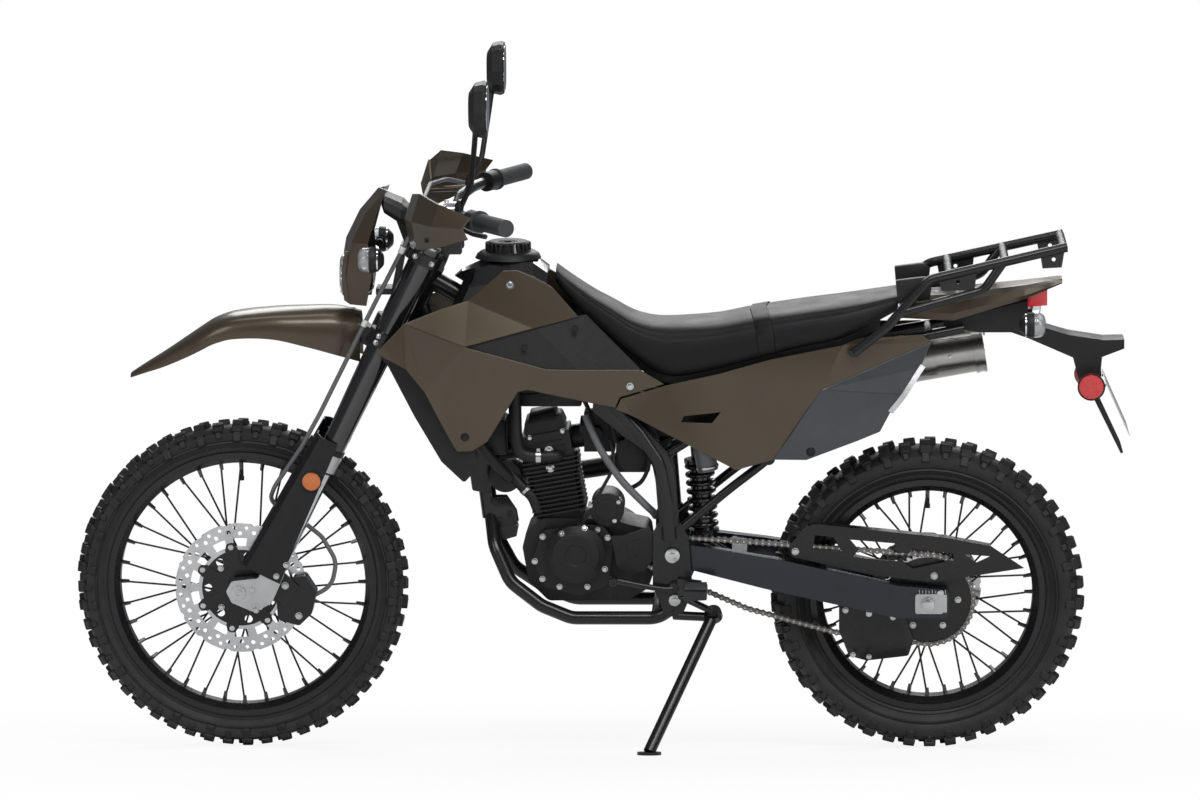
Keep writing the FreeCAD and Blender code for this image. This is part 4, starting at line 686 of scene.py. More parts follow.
def white_where_seen(tree, strength, mirrored):
    """Backdrop that the camera sees as white, while the object gets a softer light and softer reflections."""
    tree.nodes.clear()
    path = node(tree, "LightPath").outputs
    seen = figure(tree, "MAXIMUM", path["Is Camera Ray"], path["Is Transmission Ray"])
    soft = node(tree, "Background", {"Color": (0.92, 0.95, 1.0, 1.0), "Strength": ranged(
        tree, path["Is Glossy Ray"], 0.0, 1.0, strength, mirrored)})
    white = node(tree, "Background", {"Color": (1, 1, 1, 1), "Strength": 1.0})
    shader = mixed_shader(tree, seen, soft.outputs["Background"], white.outputs["Background"])
    node(tree, "OutputWorld", {"Surface": shader})


def pale_floor(tone):
    """Matt floor that runs out into the white backdrop a few metres off."""
    def make(tree, place):
        matt = node(tree, "BsdfPrincipled", {"Base Color": (tone, tone, tone, 1), "Roughness": 0.9,
                                             "Specular IOR Level": 0.1})
        reach = node(tree, "VectorMath", {0: place}, operation="LENGTH").outputs["Value"]
        far = ranged(tree, reach, 0.5, 2.2, 0.86, 1.0)
        seen = figure(tree, "MULTIPLY", far, node(tree, "LightPath").outputs["Is Camera Ray"])
        return mixed_shader(tree, seen, matt.outputs["BSDF"], node(tree, "Emission").outputs["Emission"])

    return surface_of("studio_floor", make)


class MOTO_OT_stage(bpy.types.Operator):
    """Lays the pale floor and sets the studio lights and the camera"""

    bl_idname = "moto.stage"
    bl_label = "Studio"

    def execute(self, context):
        scene = context.scene
        bm = bmesh.new()
        bmesh.ops.create_grid(bm, x_segments=1, y_segments=1, size=FLOOR_HALF)
        data = mesh_of(bm, "studio_floor")
        floor = bpy.data.objects.new("studio_floor", data)
        scene.collection.objects.link(floor)
        data.materials.append(pale_floor(scene.motorcycle_look.floor_tone))
        world = bpy.data.worlds.new("studio")
        scene.world = world
        world.use_nodes = True
        white_where_seen(world.node_tree, 0.2, 0.16)
        for i, (place, wide, tall, power) in enumerate(SOFTBOXES):
            lamp = bpy.data.lights.new("softbox_%d" % i, "AREA")
            lamp.shape = "RECTANGLE"
            lamp.size, lamp.size_y, lamp.energy = wide, tall, power
            holder = bpy.data.objects.new("softbox_%d" % i, lamp)
            holder.location = place
            holder.rotation_euler = (Vector((0, 0, 0.6)) - Vector(place)).to_track_quat("-Z", "Y").to_euler()
            scene.collection.objects.link(holder)
        view = bpy.data.cameras.new("camera")
        view.lens, view.sensor_width = CAMERA_LENS, 36
        eye = bpy.data.objects.new("camera", view)
        target = Vector(((MACHINE @ Vector((653, 0, 700))).x, 0.02, 0.7))
        eye.location = target + Vector((-math.sin(CAMERA_SWING), math.cos(CAMERA_SWING), 0)) * CAMERA_REACH
        eye.rotation_euler = (target - eye.location).to_track_quat("-Z", "Y").to_euler()
        scene.collection.objects.link(eye)
        scene.camera = eye
        scene.view_settings.view_transform = "Standard"
        return {"FINISHED"}


# Stations of the front fender: X, half width, lower and upper Z
FENDER = [(1134, 46, 794, 891), (1182, 60, 810, 901), (1240, 66, 827, 901), (1310, 69, 843, 898),
          (1388, 67, 843, 889),
          (1427, 63, 832, 876), (1450, 59, 820, 862), (1477, 52, 806, 844), (1528, 40, 783, 810),
          (1570, 28, 768, 784), (1599, 18, 757, 765)]
FENDER_ARCH = [(1.0, 0.0), (1.0, 0.22), (0.985, 0.45), (0.93, 0.66), (0.80, 0.82), (0.58, 0.93), (0.3, 0.985)]
FENDER_WALL = 3.0
FENDER_REAR, FENDER_RUN = 1134, 464


def fender_ring(x):
    """Outline of the fender's shell across the machine: its outer skin, then its inner one back."""
    half, low, high = between(FENDER, x)
    outer = [(x, half * wide, low + (high - low) * rise) for wide, rise in FENDER_ARCH] + [(x, 0, high)]
    outer += [(x, -y, z) for x, y, z in reversed(outer[:-1])]
    thin = min(FENDER_WALL, half * 0.3)
    inner = [(x, y * (1 - thin / half), max(z - thin, low)) for x, y, z in outer]
    inner[0] = inner[0][:2] + (outer[0][2],)
    inner[-1] = inner[-1][:2] + (outer[-1][2],)
    return outer + inner[::-1]


class MOTO_OT_panels(bpy.types.Operator):
    """Rounds the creases of the panels and draws the crowned front fender"""

    bl_idname = "moto.panels"
    bl_label = "Body Panels"

    def execute(self, context):
        softened("shrouds", 0.0045, 3)
        softened("side_panels", 0.0045, 3)
        softened("number_panels", 0.004, 3, finish="grey_plastic")
        softened("hand_guards", 0.007, 4, body="steering")
        softened("swingarm", 0.014, 5, 0.6, finish="navy_alloy")
        softened("fork_guards", 0.004, 3, finish="black_plastic", body="steering")
        arch = [fender_ring(FENDER_REAR + FENDER_RUN * k / 60) for k in range(61)]
        piece("front_fender_crowned", "bronze_paint", loft(arch),
              block((32, 32, 22), (1162, 0, 884), round_by=2.0),
              smooth=60.0, stands_for=("front_fender",), **ON_STEERING)
        softened("headlight_mask", 0.006, 2, 0.09, 60.0, body="steering")
        softened("tail_cowl", 0.006, 2, 0.09, 60.0)
        cheek = [(148, -94), (184, -94), (190, -70), (190, -26), (184, 6), (148, 10)]
        piece("headlamp_cheeks", "bronze_paint", pair(plate(cheek, 46, 50, 1.2)), **ON_BARS)
        return {"FINISHED"}


def tread(name, where, radius, half, crown, rim, rows, depth):
    """Knobbly tyre: a carcass with stepped walls, and staggered blocks out to the construction's outline."""
    base = radius - depth
    wall = [(0.52, rim - 2), (0.62, rim + 7), (0.6, rim + 10), (0.9, rim + 28), (0.97, rim + 42),
            (0.95, base - 16), (0.72, base - 6), (0.4, base - 1)]
    profile = [(-half * share, height) for share, height in wall] + [(0, base)]
    profile += [(half * share, height) for share, height in reversed(wall)]
    piece(name + "_carcass", "tyre_rubber", lathe(profile, steps=120), smooth=40.0, stands_for=(name,),
          merge=True, **where)
    pitch = 2 * math.pi / rows
    long = radius * pitch
    tall = depth + 4
    knobs = []
    for i in range(rows):
        even = i % 2 == 0
        for side in (-1, 1):
            turn = Matrix.Rotation(i * pitch + (side * pitch * 0.12), 4, "Y")
            if even:
                spot = at(0, side * crown * 0.62, radius - tall / 2)
                knobs.append(block((long * 0.56, crown * 0.95, tall), turn @ spot, 0.9))
            else:
                spot = at(0, side * (crown + half * 0.12), radius - 2.6 - tall / 2) @ tipped(-side * 14, "X")
                knobs.append(block((long * 0.6, half * 0.34, tall), turn @ spot, 0.88))
            share, wide, drop, lean = (0.6, 0.36, 15.5, 42) if even else (0.5, 0.3, 13.5, 34)
            sunk = at(0, 0, -tall * 0.42)
            spot = at(0, side * half * 0.8, radius - drop) @ tipped(-side * lean, "X") @ sunk
            knobs.append(block((long * share, half * wide, tall + 6), turn @ spot, 0.84))
            share, wide, drop = (0.42, 24, 29) if even else (0.3, 15, 25)
            spot = at(0, side * half * 0.925, radius - drop) @ tipped(-side * 68, "X")
            knobs.append(block((long * share, wide, 7), turn @ spot, 0.8))
    piece(name + "_knobs", "tyre_rubber", *knobs, lambda bm: fillet(bm, bm.edges, 1.1, 1), smooth=30.0,
          **where)
    ring = [(half * 0.86, rim + 20), (half * 0.93, rim + 22), (half * 0.9, rim + 25)]
    piece(name + "_wall_rings", "tyre_rubber", pair(lathe(ring, steps=96)), smooth=30.0, **where)


class MOTO_OT_tyres(bpy.types.Operator):
    """Knobbly tyres with a raised ring on each wall"""

    bl_idname = "moto.tyres"
    bl_label = "Tyres"

    def execute(self, context):
        tread("front_tyre", ON_FRONT_WHEEL, FRONT_RADIUS, half=40, crown=13, rim=271, rows=52, depth=11)
        tread("rear_tyre", ON_REAR_WHEEL, REAR_RADIUS, half=55, crown=19, rim=236, rows=46, depth=13)
        return {"FINISHED"}


SPOKES_A_SIDE = 18
DISC_WINDOWS = 14
# Holes beside each window: share of a window's turn, reach and radius
DISC_HOLES = ((0.05, 114.7, 4.6), (0.5, 111, 4.6), (0.3, 122.5, 4.0), (0.74, 122.5, 4.0))
STAR_ARMS = 7


class MOTO_OT_wheels(bpy.types.Operator):
    """Nipples, valve stems, disc carriers and their bolts"""

    bl_idname = "moto.wheels"
    bl_label = "Wheels and Discs"

    def execute(self, context):
        for word, where, inner in (("front", ON_FRONT_WHEEL, 248), ("rear", ON_REAR_WHEEL, 211)):
            nipples = []
            for side, shift in ((1, 0.5), (-1, 0)):
                for i in range(SPOKES_A_SIDE):
                    turn = 2 * math.pi * (i + shift) / SPOKES_A_SIDE
                    out = Vector((math.cos(turn), 0, math.sin(turn)))
                    spot = out * (inner - 8) + Vector((0, side * 8 + (3 if i % 2 else -3), 0))
                    nipples.append(turned(3.6, 16, spot, out, 8, top=4.4))
            piece(word + "_nipples", "black_gloss", *nipples, **where)
            piece(word + "_valve", "black_plastic", turned(4.2, 34, (0, 0, inner - 17), UP, 12, 0.8),
                  turned(5.4, 9, (0, 0, inner - 34), UP, 12, 0.8), **where)
        windows = []
        for i in range(DISC_WINDOWS):
            middle = 2 * math.pi * (i + 0.5) / DISC_WINDOWS
            arc = [middle + math.radians(step) for step in (-8, -4, 0, 4, 8)]
            windows.append([(85 * math.cos(turn), 85 * math.sin(turn)) for turn in arc]
                           + [(102 * math.cos(turn), 102 * math.sin(turn)) for turn in reversed(arc)])
            for swing, reach, radius in DISC_HOLES:
                turn = 2 * math.pi * (i + swing) / DISC_WINDOWS
                windows.append([(reach * math.cos(turn) + x, reach * math.sin(turn) + z)
                                for x, z in ring_of(14, radius)])
        disc = cut_through("front_brake_disc", "front_disc_pierced", windows, 40, 72, "disc_steel",
                           **ON_FRONT_WHEEL)
        paint_faces(disc.data, "black_paint", within(79), FRONT_HUB)
        paint_faces(NODES["rear_brake_disc"].data, "black_paint", within(63), REAR_HUB)
        paint_faces(NODES["rear_sprocket"].data, "black_paint", within(74), REAR_HUB)
        arm = [(34, -15), (58, -10), (80, -13), (92, -8), (94, 0), (92, 8), (80, 13), (58, 10), (34, 15)]
        piece("front_disc_star", "black_paint",
              *[plate(arm, 56.2, 58.4, turn=tipped(360 * (i + 0.5) / STAR_ARMS)) for i in range(STAR_ARMS)],
              lathe([(56.2, 20), (56.2, 48), (58.6, 48), (58.6, 20)], steps=48, closed=True),
              slot="black_steel", **ON_FRONT_WHEEL)
        piece("front_disc_bolts", "bolt_steel",
              *[turned(5.6, 2.2, (x, 57.7, z), ACROSS, 16, 0.4)
                for x, z in ring_of(STAR_ARMS, 85, math.pi / 7)],
              *[bolt((x, 56.2, z), ACROSS, 5.2, 5.0) for x, z in ring_of(4, 56, math.pi / 4)],
              **ON_FRONT_WHEEL)
        piece("rear_hub_bolts", "bolt_steel",
              *[bolt((x, -66, z), (0, -1, 0), 4.6) for x, z in ring_of(6, 56, 0.3)],
              *[bolt((x, 75.5, z), ACROSS, 5.4, socket=False) for x, z in ring_of(6, 60)], **ON_REAR_WHEEL)
        return {"FINISHED"}


CHAIN_PITCH = 12.7
CHAIN_LINE = 72
REAR_TEETH, FRONT_TEETH = 45, 14


def chain_path():
    """Places of the chain's pins, in order round both sprockets and along the slack run."""
    big, small = (CHAIN_PITCH / 2 / math.sin(math.pi / teeth) for teeth in (REAR_TEETH, FRONT_TEETH))
    corners = []
    for i in range(33):
        turn = math.radians(94 - i * 172 / 32)
        corners.append(Vector((573 + small * math.cos(turn), CHAIN_LINE, 420 + small * math.sin(turn))))
    corners += [Vector((361, CHAIN_LINE, 296)), Vector((178, CHAIN_LINE, 246))]
    for i in range(65):
        turn = math.radians(-76 - i * 190.4 / 64)
        corners.append(Vector((big * math.cos(turn), CHAIN_LINE, REAR_RADIUS + big * math.sin(turn))))
    ends = corners[1:] + corners[:1]
    total = sum((end - start).length for start, end in zip(corners, ends))
    count = 2 * round(total / CHAIN_PITCH / 2)
    places, done = [], 0.0
    for start, end in zip(corners, ends):
        run = (end - start).length
        while len(places) < count and len(places) * total / count < done + run:
            places.append(start.lerp(end, (len(places) * total / count - done) / run))
        done += run
    return places


class MOTO_OT_drive(bpy.types.Operator):
    """Chain of links and rollers, and the bolts along the swingarm"""

    bl_idname = "moto.drive"
    bl_label = "Chain and Swingarm"

    def execute(self, context):
        pins = chain_path()
        plates, rollers = [], []
        for i, (start, end) in enumerate(zip(pins, pins[1:] + pins[:1])):
            run = end - start
            link = Matrix.Translation((start + end) / 2) @ Matrix.Rotation(-math.atan2(run.z, run.x), 4, "Y")
            reach = 7.4 if i % 2 else 5.3
            for out in (reach, -reach):
                for along in (-run.length / 2, run.length / 2):
                    plates.append(turned(5.0, 1.5, link @ Vector((along, out, 0)), ACROSS, 10))
                plates.append(block((run.length, 1.3, 6.2), link @ at(0, out, 0)))
            rollers += [turned(4.0, 9.0, start, ACROSS, 8), turned(1.9, 17.2, start, ACROSS, 6)]
        piece("chain_plates", "chain_steel", *plates, stands_for=("chain",))
        piece("chain_rollers", "bolt_steel", *rollers)
        fasteners("chain_guard_bolts", ("chain_guard",), [
            (265, 416, 6), (-12, 366, 6), (165, 296, 5), (118, 289, 5), (70, 282, 5), (150, 205, 4.5),
            (118, 201, 4.5)])
        cut_through("chain_guard", "chain_guard_windowed", [
            [(226, 449), (190, 446), (172, 416), (230, 421)], [(156, 440), (62, 432), (72, 408), (136, 416)],
            [(52, 396), (31, 421), (-56, 411), (-50, 398), (31, 381)], [(-72, 410), (-124, 406), (-96, 393)]],
            60, 112, "black_paint")
        piece("sprocket_guard", "cast_black", plate([
            (632, 452), (609, 452), (556, 470), (546, 452), (548, 404), (566, 380), (604, 372), (622, 392)],
            106, 108.5, 0.8), plate([(600, 436), (574, 446), (580, 412), (598, 402)], 108.5, 110.5, 0.6))
        piece("rear_axle_nuts", "bolt_steel", pair(
            turned(13, 8, (0, 131, REAR_RADIUS), ACROSS, 6, 1.0),
            turned(7, 9, (-24, 116.5, REAR_RADIUS + 22), ACROSS, 16, 0.8)))
        marks = [block((1.2, 2.4, 6 if i % 2 else 9),
                       (-34 + i * 6.5, 115.2, REAR_RADIUS + 24)) for i in range(9)]
        piece("chain_adjusters", "silver_alloy",
              pair(block((62, 1.6, 36), (-6, 115, REAR_RADIUS), round_by=0.5, segments=1), *marks))
        piece("pivot_nuts", "bolt_steel", pair(
            turned(15, 6, (510, 121, 414), round_by=1.2), turned(9, 8, (510, 124, 414), ACROSS, 6, 0.8),
            turned(12, 5, (506, 114.5, 322), round_by=1.0), turned(7, 7, (506, 117, 322), ACROSS, 6, 0.8)))
        return {"FINISHED"}


CYLINDER = at(735, 0, 478) @ tipped(10)


class MOTO_OT_engine(bpy.types.Operator):
    """Cover bolts, caps, ribs, hoses and clamps of the engine"""

    bl_idname = "moto.engine"
    bl_label = "Engine"

    def execute(self, context):
        fasteners("cover_bolts_left", ("generator_cover", "crankcase", "cylinder", "cylinder_head"), [
            (685, 468, 5), (731, 458, 5), (770, 446, 5), (786, 396, 5), (771, 360, 5), (737, 344, 5),
            (681, 344, 5), (646, 380, 5), (640, 444, 5), (660, 460, 4.5)])
        fasteners("cover_bolts_right", ("clutch_cover", "crankcase"), [
            (780, 440, 5), (780, 392, 5), (755, 336, 5), (690, 336, 5), (610, 336, 5), (578, 380, 5),
            (584, 430, 5), (610, 452, 5), (680, 450, 5), (735, 448, 5)], -1)
        piece("generator_cap", "cast_black",
              lathe([(120, 0), (120.4, 20), (122, 22), (122, 40), (120.6, 43), (119.6, 46)], (703, 0, 414)),
              *[turned(4.5, 5, (703 + x, 112, 414 + z), ACROSS, 16, 0.8) for x, z in ring_of(3, 47.5, 0.4)],
              turned(34, 22, (641, 76, 500), ACROSS, 40, 2.0), turned(22, 4, (641, 88, 500), ACROSS, 32, 1.0))
        shapes = []
        for x, z in ((672, 508), (626, 478), (618, 516)):
            shapes += [bolt((x, 82, z), ACROSS, 5), turned(7.5, 16, (x, 74, z), ACROSS, 16)]
        piece("starter_bolts", "bolt_steel", *shapes)
        piece("clutch_cap", "cast_black",
              lathe([(-130, 0), (-130.4, 30), (-132, 33), (-132, 50), (-130.6, 54), (-129.8, 57)],
                    (640, 0, 400)),
              turned(15, 14, (742, -96, 436), (0, -1, 0), 24, 1.5),
              block((26, 6, 7), (742, -105, 436), round_by=1.0))
        shapes = []
        for x, y, z, foot, size in ((-20, 52, 122, 8.5, 5.2), (-2, 52, 140, 8.5, 5.2), (2, 52, 104, 8.5, 5.2),
                                    (-35.2, 46, 172, 6, 4.6), (32, 46, 170, 6, 4.6)):
            wide = foot > 8
            spot = CYLINDER @ Vector((x, y, z))
            out = Vector((0, 3, 0)) if wide else Vector()
            shapes.append(turned(foot, 8 if wide else 6, spot + out, ACROSS, 16 if wide else 14))
            shapes.append(bolt(spot + Vector((0, 7 if wide else 3, 0)), ACROSS, size))
        piece("cylinder_bolts", "bolt_steel", *shapes)
        piece("head_ribs", "cast_black",
              *[block((88 - i * 6, 110, 2.6), CYLINDER @ at(0, 0, 112 + i * 11), round_by=0.6, segments=1)
                for i in range(5)], block((60, 100, 16), CYLINDER @ at(0, 0, 206), 0.86, 3.0))
        piece("coolant_hoses", "black_plastic",
              tube([(824, 66, 740), (824, 66, 700), (822, 66, 640), (812, 66, 612), (786, 64, 604),
                    (748, 60, 604), (736, 50, 602)], 13, 16),
              tube([(836, 34, 566), (812, 44, 540), (792, 50, 520), (782, 48, 496), (776, 40, 480)], 11, 14))
        piece("breather_hose", "hose_grey",
              tube([(684, 70, 690), (672, 76, 662), (650, 80, 616), (612, 82, 560), (566, 84, 512),
                    (549, 76, 494), (544, 66, 484)], 7.5, 14), slot="grip_rubber")
        piece("hose_clamps", "bolt_steel",
              lathe([(-5, 12), (-5, 14.6), (5, 14.6), (5, 12)], (778, 63, 604), ALONG, 32, True),
              lathe([(-5, 10), (-5, 12.6), (5, 12.6), (5, 10)], (805, 46, 534), (0.7, 0.2, 0.7), 32, True),
              block((7, 9, 6), (778, 66, 619), round_by=0.8))
        holder = [(878, 512), (846, 512), (826, 482), (822, 458), (872, 452), (880, 470)]
        piece("engine_mount_plates", "black_paint", pair(plate(holder, 14.5, 17.5, 0.8)))
        piece("engine_mount_bolts", "cast_black", pair(
            *[turned(6.5, 4, (x, 19, z), ACROSS, 6, 0.7) for x, z in ((868, 502), (858, 466), (838, 480))]))
        return {"FINISHED"}


# Side view of the frame's wide spar, and stations of the seat: X, half width, lower and upper Z
SPAR = [(664, 748), (640, 750), (612, 722), (556, 664), (518, 622), (505, 590), (496, 470), (536, 470),
        (545, 588), (556, 618), (604, 652), (668, 704)]
SEAT = [(742, 52, 956, 984), (722, 60, 932, 968), (669, 74, 880, 932), (631, 84, 848, 911),
        (588, 94, 812, 887),
        (546, 102, 782, 876), (503, 108, 772, 875), (416, 113, 788, 881), (358, 116, 804, 892),
        (258, 117, 830, 907), (163, 112, 852, 919), (60, 88, 902, 934)]


class MOTO_OT_frame(bpy.types.Operator):
    """Box sections of the frame, struts, radiators, cables and the reservoir of the shock absorber"""

    bl_idname = "moto.frame"
    bl_label = "Frame and Cooling"

    def execute(self, context):
        piece("frame_beams", "black_paint", pair(plate(SPAR, 91, 117, 4.0)),
              plate([(936, 690), (914, 526), (876, 520), (876, 600), (892, 690)], -20, 20, 4.0))
        piece("frame_struts", "black_paint", pair(
            tube([(508, 104, 452), (404, 95, 538), (300, 86, 622), (232, 80, 716)], 9, 14),
            turned(13, 8, (318, 95, 606), ACROSS, 20, 1.0)))
        piece("radiators", "cast_black", pair(
            plate([(938, 836), (944, 668), (914, 662), (902, 832)], 54, 112, 3.0),
            turned(8, 60, (932, 30, 690), ACROSS, 14), turned(8, 60, (926, 30, 810), ACROSS, 14)))
        runs = (([(920, 74, 684), (902, 70, 640), (866, 58, 590), (836, 42, 556)], 11, 14),
                ([(640, 30, 772), (700, 44, 758), (768, 58, 742), (822, 66, 742)], 8, 10),
                ([(700, 30, 716), (676, 52, 742), (630, 66, 722), (602, 74, 676), (600, 80, 640)], 6, 10),
                ([(870, 30, 742), (800, 52, 728), (742, 62, 738), (690, 60, 722), (668, 64, 668)], 4.5, 8),
                ([(866, 40, 760), (780, 60, 752), (690, 70, 738), (640, 74, 690), (622, 76, 634)], 4, 8),
                ([(848, -30, 748), (780, -52, 736), (700, -60, 720), (640, -70, 690)], 9, 10),
                ([(596, 70, 540), (570, 84, 560), (556, 88, 600), (566, 84, 640)], 4.5, 8),
                ([(690, 84, 470), (652, 84, 540), (628, 80, 590), (634, 72, 640)], 3.5, 8))
        piece("cables_and_hoses", "black_plastic", *[tube(*run) for run in runs])
        piece("intake_and_electrics", "black_plastic",
              block((52, 34, 44), (836, 58, 772), 0.94, 3.0), block((124, 76, 50), (754, 0, 726), 0.96, 4.0),
              block((46, 96, 70), (866, 0, 640), 0.96, 3.0),
              *[block((52, 3, 66), (866, -40 + i * 16, 640), round_by=0.8, segments=1) for i in range(6)],
              turned(33, 16, (846, 34, 560), ACROSS, 32, 2.0), block((70, 60, 66), (590, 40, 606), 0.92, 4.0),
              block((42, 26, 58), (560, 62, 676), 0.94, 3.0), block((44, 90, 56), (612, 0, 660), 0.94, 4.0),
              block((150, 64, 40), (716, 0, 752), 0.96, 4.0),
              turned(26, 60, (668, 0, 648), (1, 0, 0.1), 28, 2.0),
              turned(13, 26, (664, 42, 650), ACROSS, 24, 1.5), block((90, 120, 60), (470, 0, 700), 0.96, 4.0))
        leant = (0.2, 0, 1)
        piece("shock_reservoir", "hose_grey", turned(21, 74, (446, 66, 612), leant, 32, 3.0))
        piece("reservoir_bands", "silver_alloy", turned(22.5, 5, (440, 66, 584), leant, 32, 1.0),
              turned(22.5, 5, (453, 66, 640), leant, 32, 1.0))
        rings = []
        for k in range(40):
            x = 96 + (700 - 96) * k / 39
            half, low, _ = between(SEAT, x)
            wide = half * 0.8
            rings.append([(x, wide, low - 16), (x, wide, low + 6), (x, -wide, low + 6), (x, -wide, low - 16)])
        piece("seat_base", "black_plastic", loft(rings))
        return {"FINISHED"}


class MOTO_OT_steering(bpy.types.Operator):
    """Chrome stanchions, reflectors, caps, bolts, hose bands, instrument and mirrors"""

    bl_idname = "moto.steering"
    bl_label = "Fork and Bars"

    def execute(self, context):
        def tube_face(spot):
            return math.hypot(spot.x - 20, abs(spot.y) - FORK_SPREAD) < 21 and 84 < spot.z < 302

        paint_faces(NODES["fork_lower_legs"].data, "chrome_tube", tube_face, ON_FORK["place"])
        piece("fork_seals", "black_plastic", pair(*[
            lathe([(low, radius - 4), (low, radius), (high, radius), (high, radius - 4)],
                  (20, FORK_SPREAD, 0), UP, 40,
                  True) for low, high, radius in ((336.6, 347, 26.6), (295, 300.4, 22.4))]), **ON_FORK)
        piece("fork_caps", "silver_alloy", pair(
            turned(22.5, 6, (20, FORK_SPREAD, 797), UP, 40, 1.2),
            turned(12, 7, (20, FORK_SPREAD, 802), UP, 6, 0.8),
            turned(4.5, 5, (14, FORK_SPREAD, 806), UP, 16, 0.6)),
              turned(17, 12, (0, 0, 789), UP, 6, 1.2), **ON_FORK)
        clamps = [(583, 14), (597, 14), (773, 18)]
        piece("clamp_bolts", "bolt_steel", pair(*[
            bolt((20 + turn, FORK_SPREAD + math.sqrt(36.2 ** 2 - turn ** 2), level), (turn / 36, 1, 0), 4.4)
            for level, swing in clamps for turn in (-swing, swing)]), **ON_FORK)
        fasteners("holder_bolts", ("fork_lower_legs",), [(1345, 300, 5), (1352, 342, 5)], body="steering")
        fasteners("caliper_bolts", ("front_caliper",), [(1288, 345, 6), (1262, 282, 6)], body="steering")
        fasteners("fork_guard_bolts", ("fork_guards",), [(1282, 395, 5), (1302, 372, 5)], body="steering")
        piece("front_axle_cap", "silver_alloy",
              turned(15, 6, (WHEELBASE, 111, FRONT_RADIUS), ACROSS, 32, 1.2), **ON_STEERING)
        rim = [(110, 12), (110, 20), (124, 21), (125, 20.4), (125, 18.6), (123, 18.4)]
        lens = [(122.6, 18.6), (124, 18.2), (124.9, 12), (125.2, 0)]
        spot = (30, 0, 273)
        piece("fork_reflector_rims", "black_plastic", pair(lathe(rim, spot, ACROSS, 40)), **ON_FORK)
        piece("fork_reflectors", "orange_lens", pair(lathe(lens, spot, ACROSS, 40)), **ON_FORK)
        piece("hose_bands", "white_band", *[turned(6.2, 14, place, (77, -1, -148), 20, 0.8)
                                            for place in ((1044, 96.8, 1027), (1120, 95.9, 880))],
              **ON_STEERING)
        glass = squared_ring(55.44, 46.2, 0.7)
        piece("mirror_faces", "mirror_face", *[
            plate(glass, 0, 0.6, turn=at(-119.4, side * 336, 327) @ tipped(90, "Z")) for side in SIDES],
              **ON_BARS)
        piece("mirror_boots", "black_plastic", pair(
            lathe([(0, 6), (1, 9), (22, 9), (30, 6)], (-52, 186, 96), (-0.1, 0, 1), 20),
            lathe([(0, 5), (2, 9), (16, 10), (24, 6)], (-92, 306, 284), (-0.1, 0.6, 0.8), 20)), **ON_BARS)
        lie = at(63.5, 0, 84) @ tipped(-21)
        piece("instrument_face", "dial_face", block((3, 96, 34), lie @ at(-2.6, 0, 6), round_by=2.0),
              **ON_BARS)
        piece("bar_caps", "silver_alloy", pair(block((40, 24, 15), (-29, 40, 85), round_by=3.0)), **ON_BARS)
        piece("bar_cap_bolts", "bolt_steel", pair(bolt((-43, 40, 92), UP, 4.4), bolt((-15, 40, 92), UP, 4.4)),
              **ON_BARS)
        return {"FINISHED"}


# Half section of the seat: shares of its half width and of its height
SEAT_ROUND = [(0.84, 0.0), (0.95, 0.06), (0.995, 0.2), (1.0, 0.38), (0.985, 0.56), (0.955, 0.70),
              (0.925, 0.755), (0.90, 0.795), (0.84, 0.865), (0.72, 0.925), (0.55, 0.965),
              (0.36, 0.988), (0.18, 0.997), (0.0, 1.0)]
SEAM_RISE = 0.775
SEAM_DEPTH = 2.2
SEAT_REAR, SEAT_FRONT = 60.5, 741.0
STRAP_X = 318


def seat_skin(x, share, out=0.0):
    """Place on the seat's skin: a share of the way from its lower edge, over its side, to its ridge."""
    half, low, high = between(SEAT, x)
    spot = share * (len(SEAT_ROUND) - 1)
    i = min(int(spot), len(SEAT_ROUND) - 2)
    t = spot - i
    wide, rise = (SEAT_ROUND[i][k] * (1 - t) + SEAT_ROUND[i + 1][k] * t for k in (0, 1))
    dip = SEAM_DEPTH * math.exp(-((rise - SEAM_RISE) / 0.03) ** 2) if rise < 0.95 else 0.0
    push = out - dip
    slope = min(max((rise - 0.45) / 0.5, 0.0), 1.0)
    return (wide * half + push * (1 - slope), low + rise * (high - low) + push * slope)


class MOTO_OT_seat(bpy.types.Operator):
    """Crowned seat with its sewn seam, strap and cover"""

    bl_idname = "moto.seat"
    bl_label = "Seat"

    def execute(self, context):
        rings = []
        for k in range(86):
            x = SEAT_REAR + (SEAT_FRONT - SEAT_REAR) * k / 85
            tuck = 1.0 - 0.05 * max(0.0, (x - 725) / 16) ** 2
            skin = [seat_skin(x, i / 30) for i in range(31)]
            half = [(x, y * tuck, z) for y, z in skin]
            rings.append(half + [(x, -y, z) for x, y, z in reversed(half[:-1])])
        cover = piece("seat_cover", "seat_vinyl", loft(rings), smooth=60.0, stands_for=("seat",), merge=True)
        stitches = []
        for share in (0.475, 0.535):
            for k in range(120):
                x = 90 + 630 * k / 119
                y, z = seat_skin(x, share, 0.25)
                ahead_y, ahead_z = seat_skin(x + 3, share, 0.25)
                stitches.append(turned(0.55, 3.4, (x, y, z), (3, ahead_y - y, ahead_z - z), 6))
        piece("seat_stitches", "seat_strap", pair(*stitches))
        rings = []
        for i in range(41):
            share = 0.02 + 0.98 * min(i, 40 - i) / 20
            side = 1 if i <= 20 else -1
            x = STRAP_X + 21 * share
            row = []
            for along, lift in ((-17, 0.8), (-16, 2.6), (16, 2.6), (17, 0.8), (17, -1.1), (-17, -1.1)):
                y, z = seat_skin(x + along, share, lift)
                row.append((x + along, side * y, z))
            rings.append(row)
        piece("seat_strap", "seat_strap", loft(rings), smooth=50.0, merge=True)
        return {"FINISHED"}


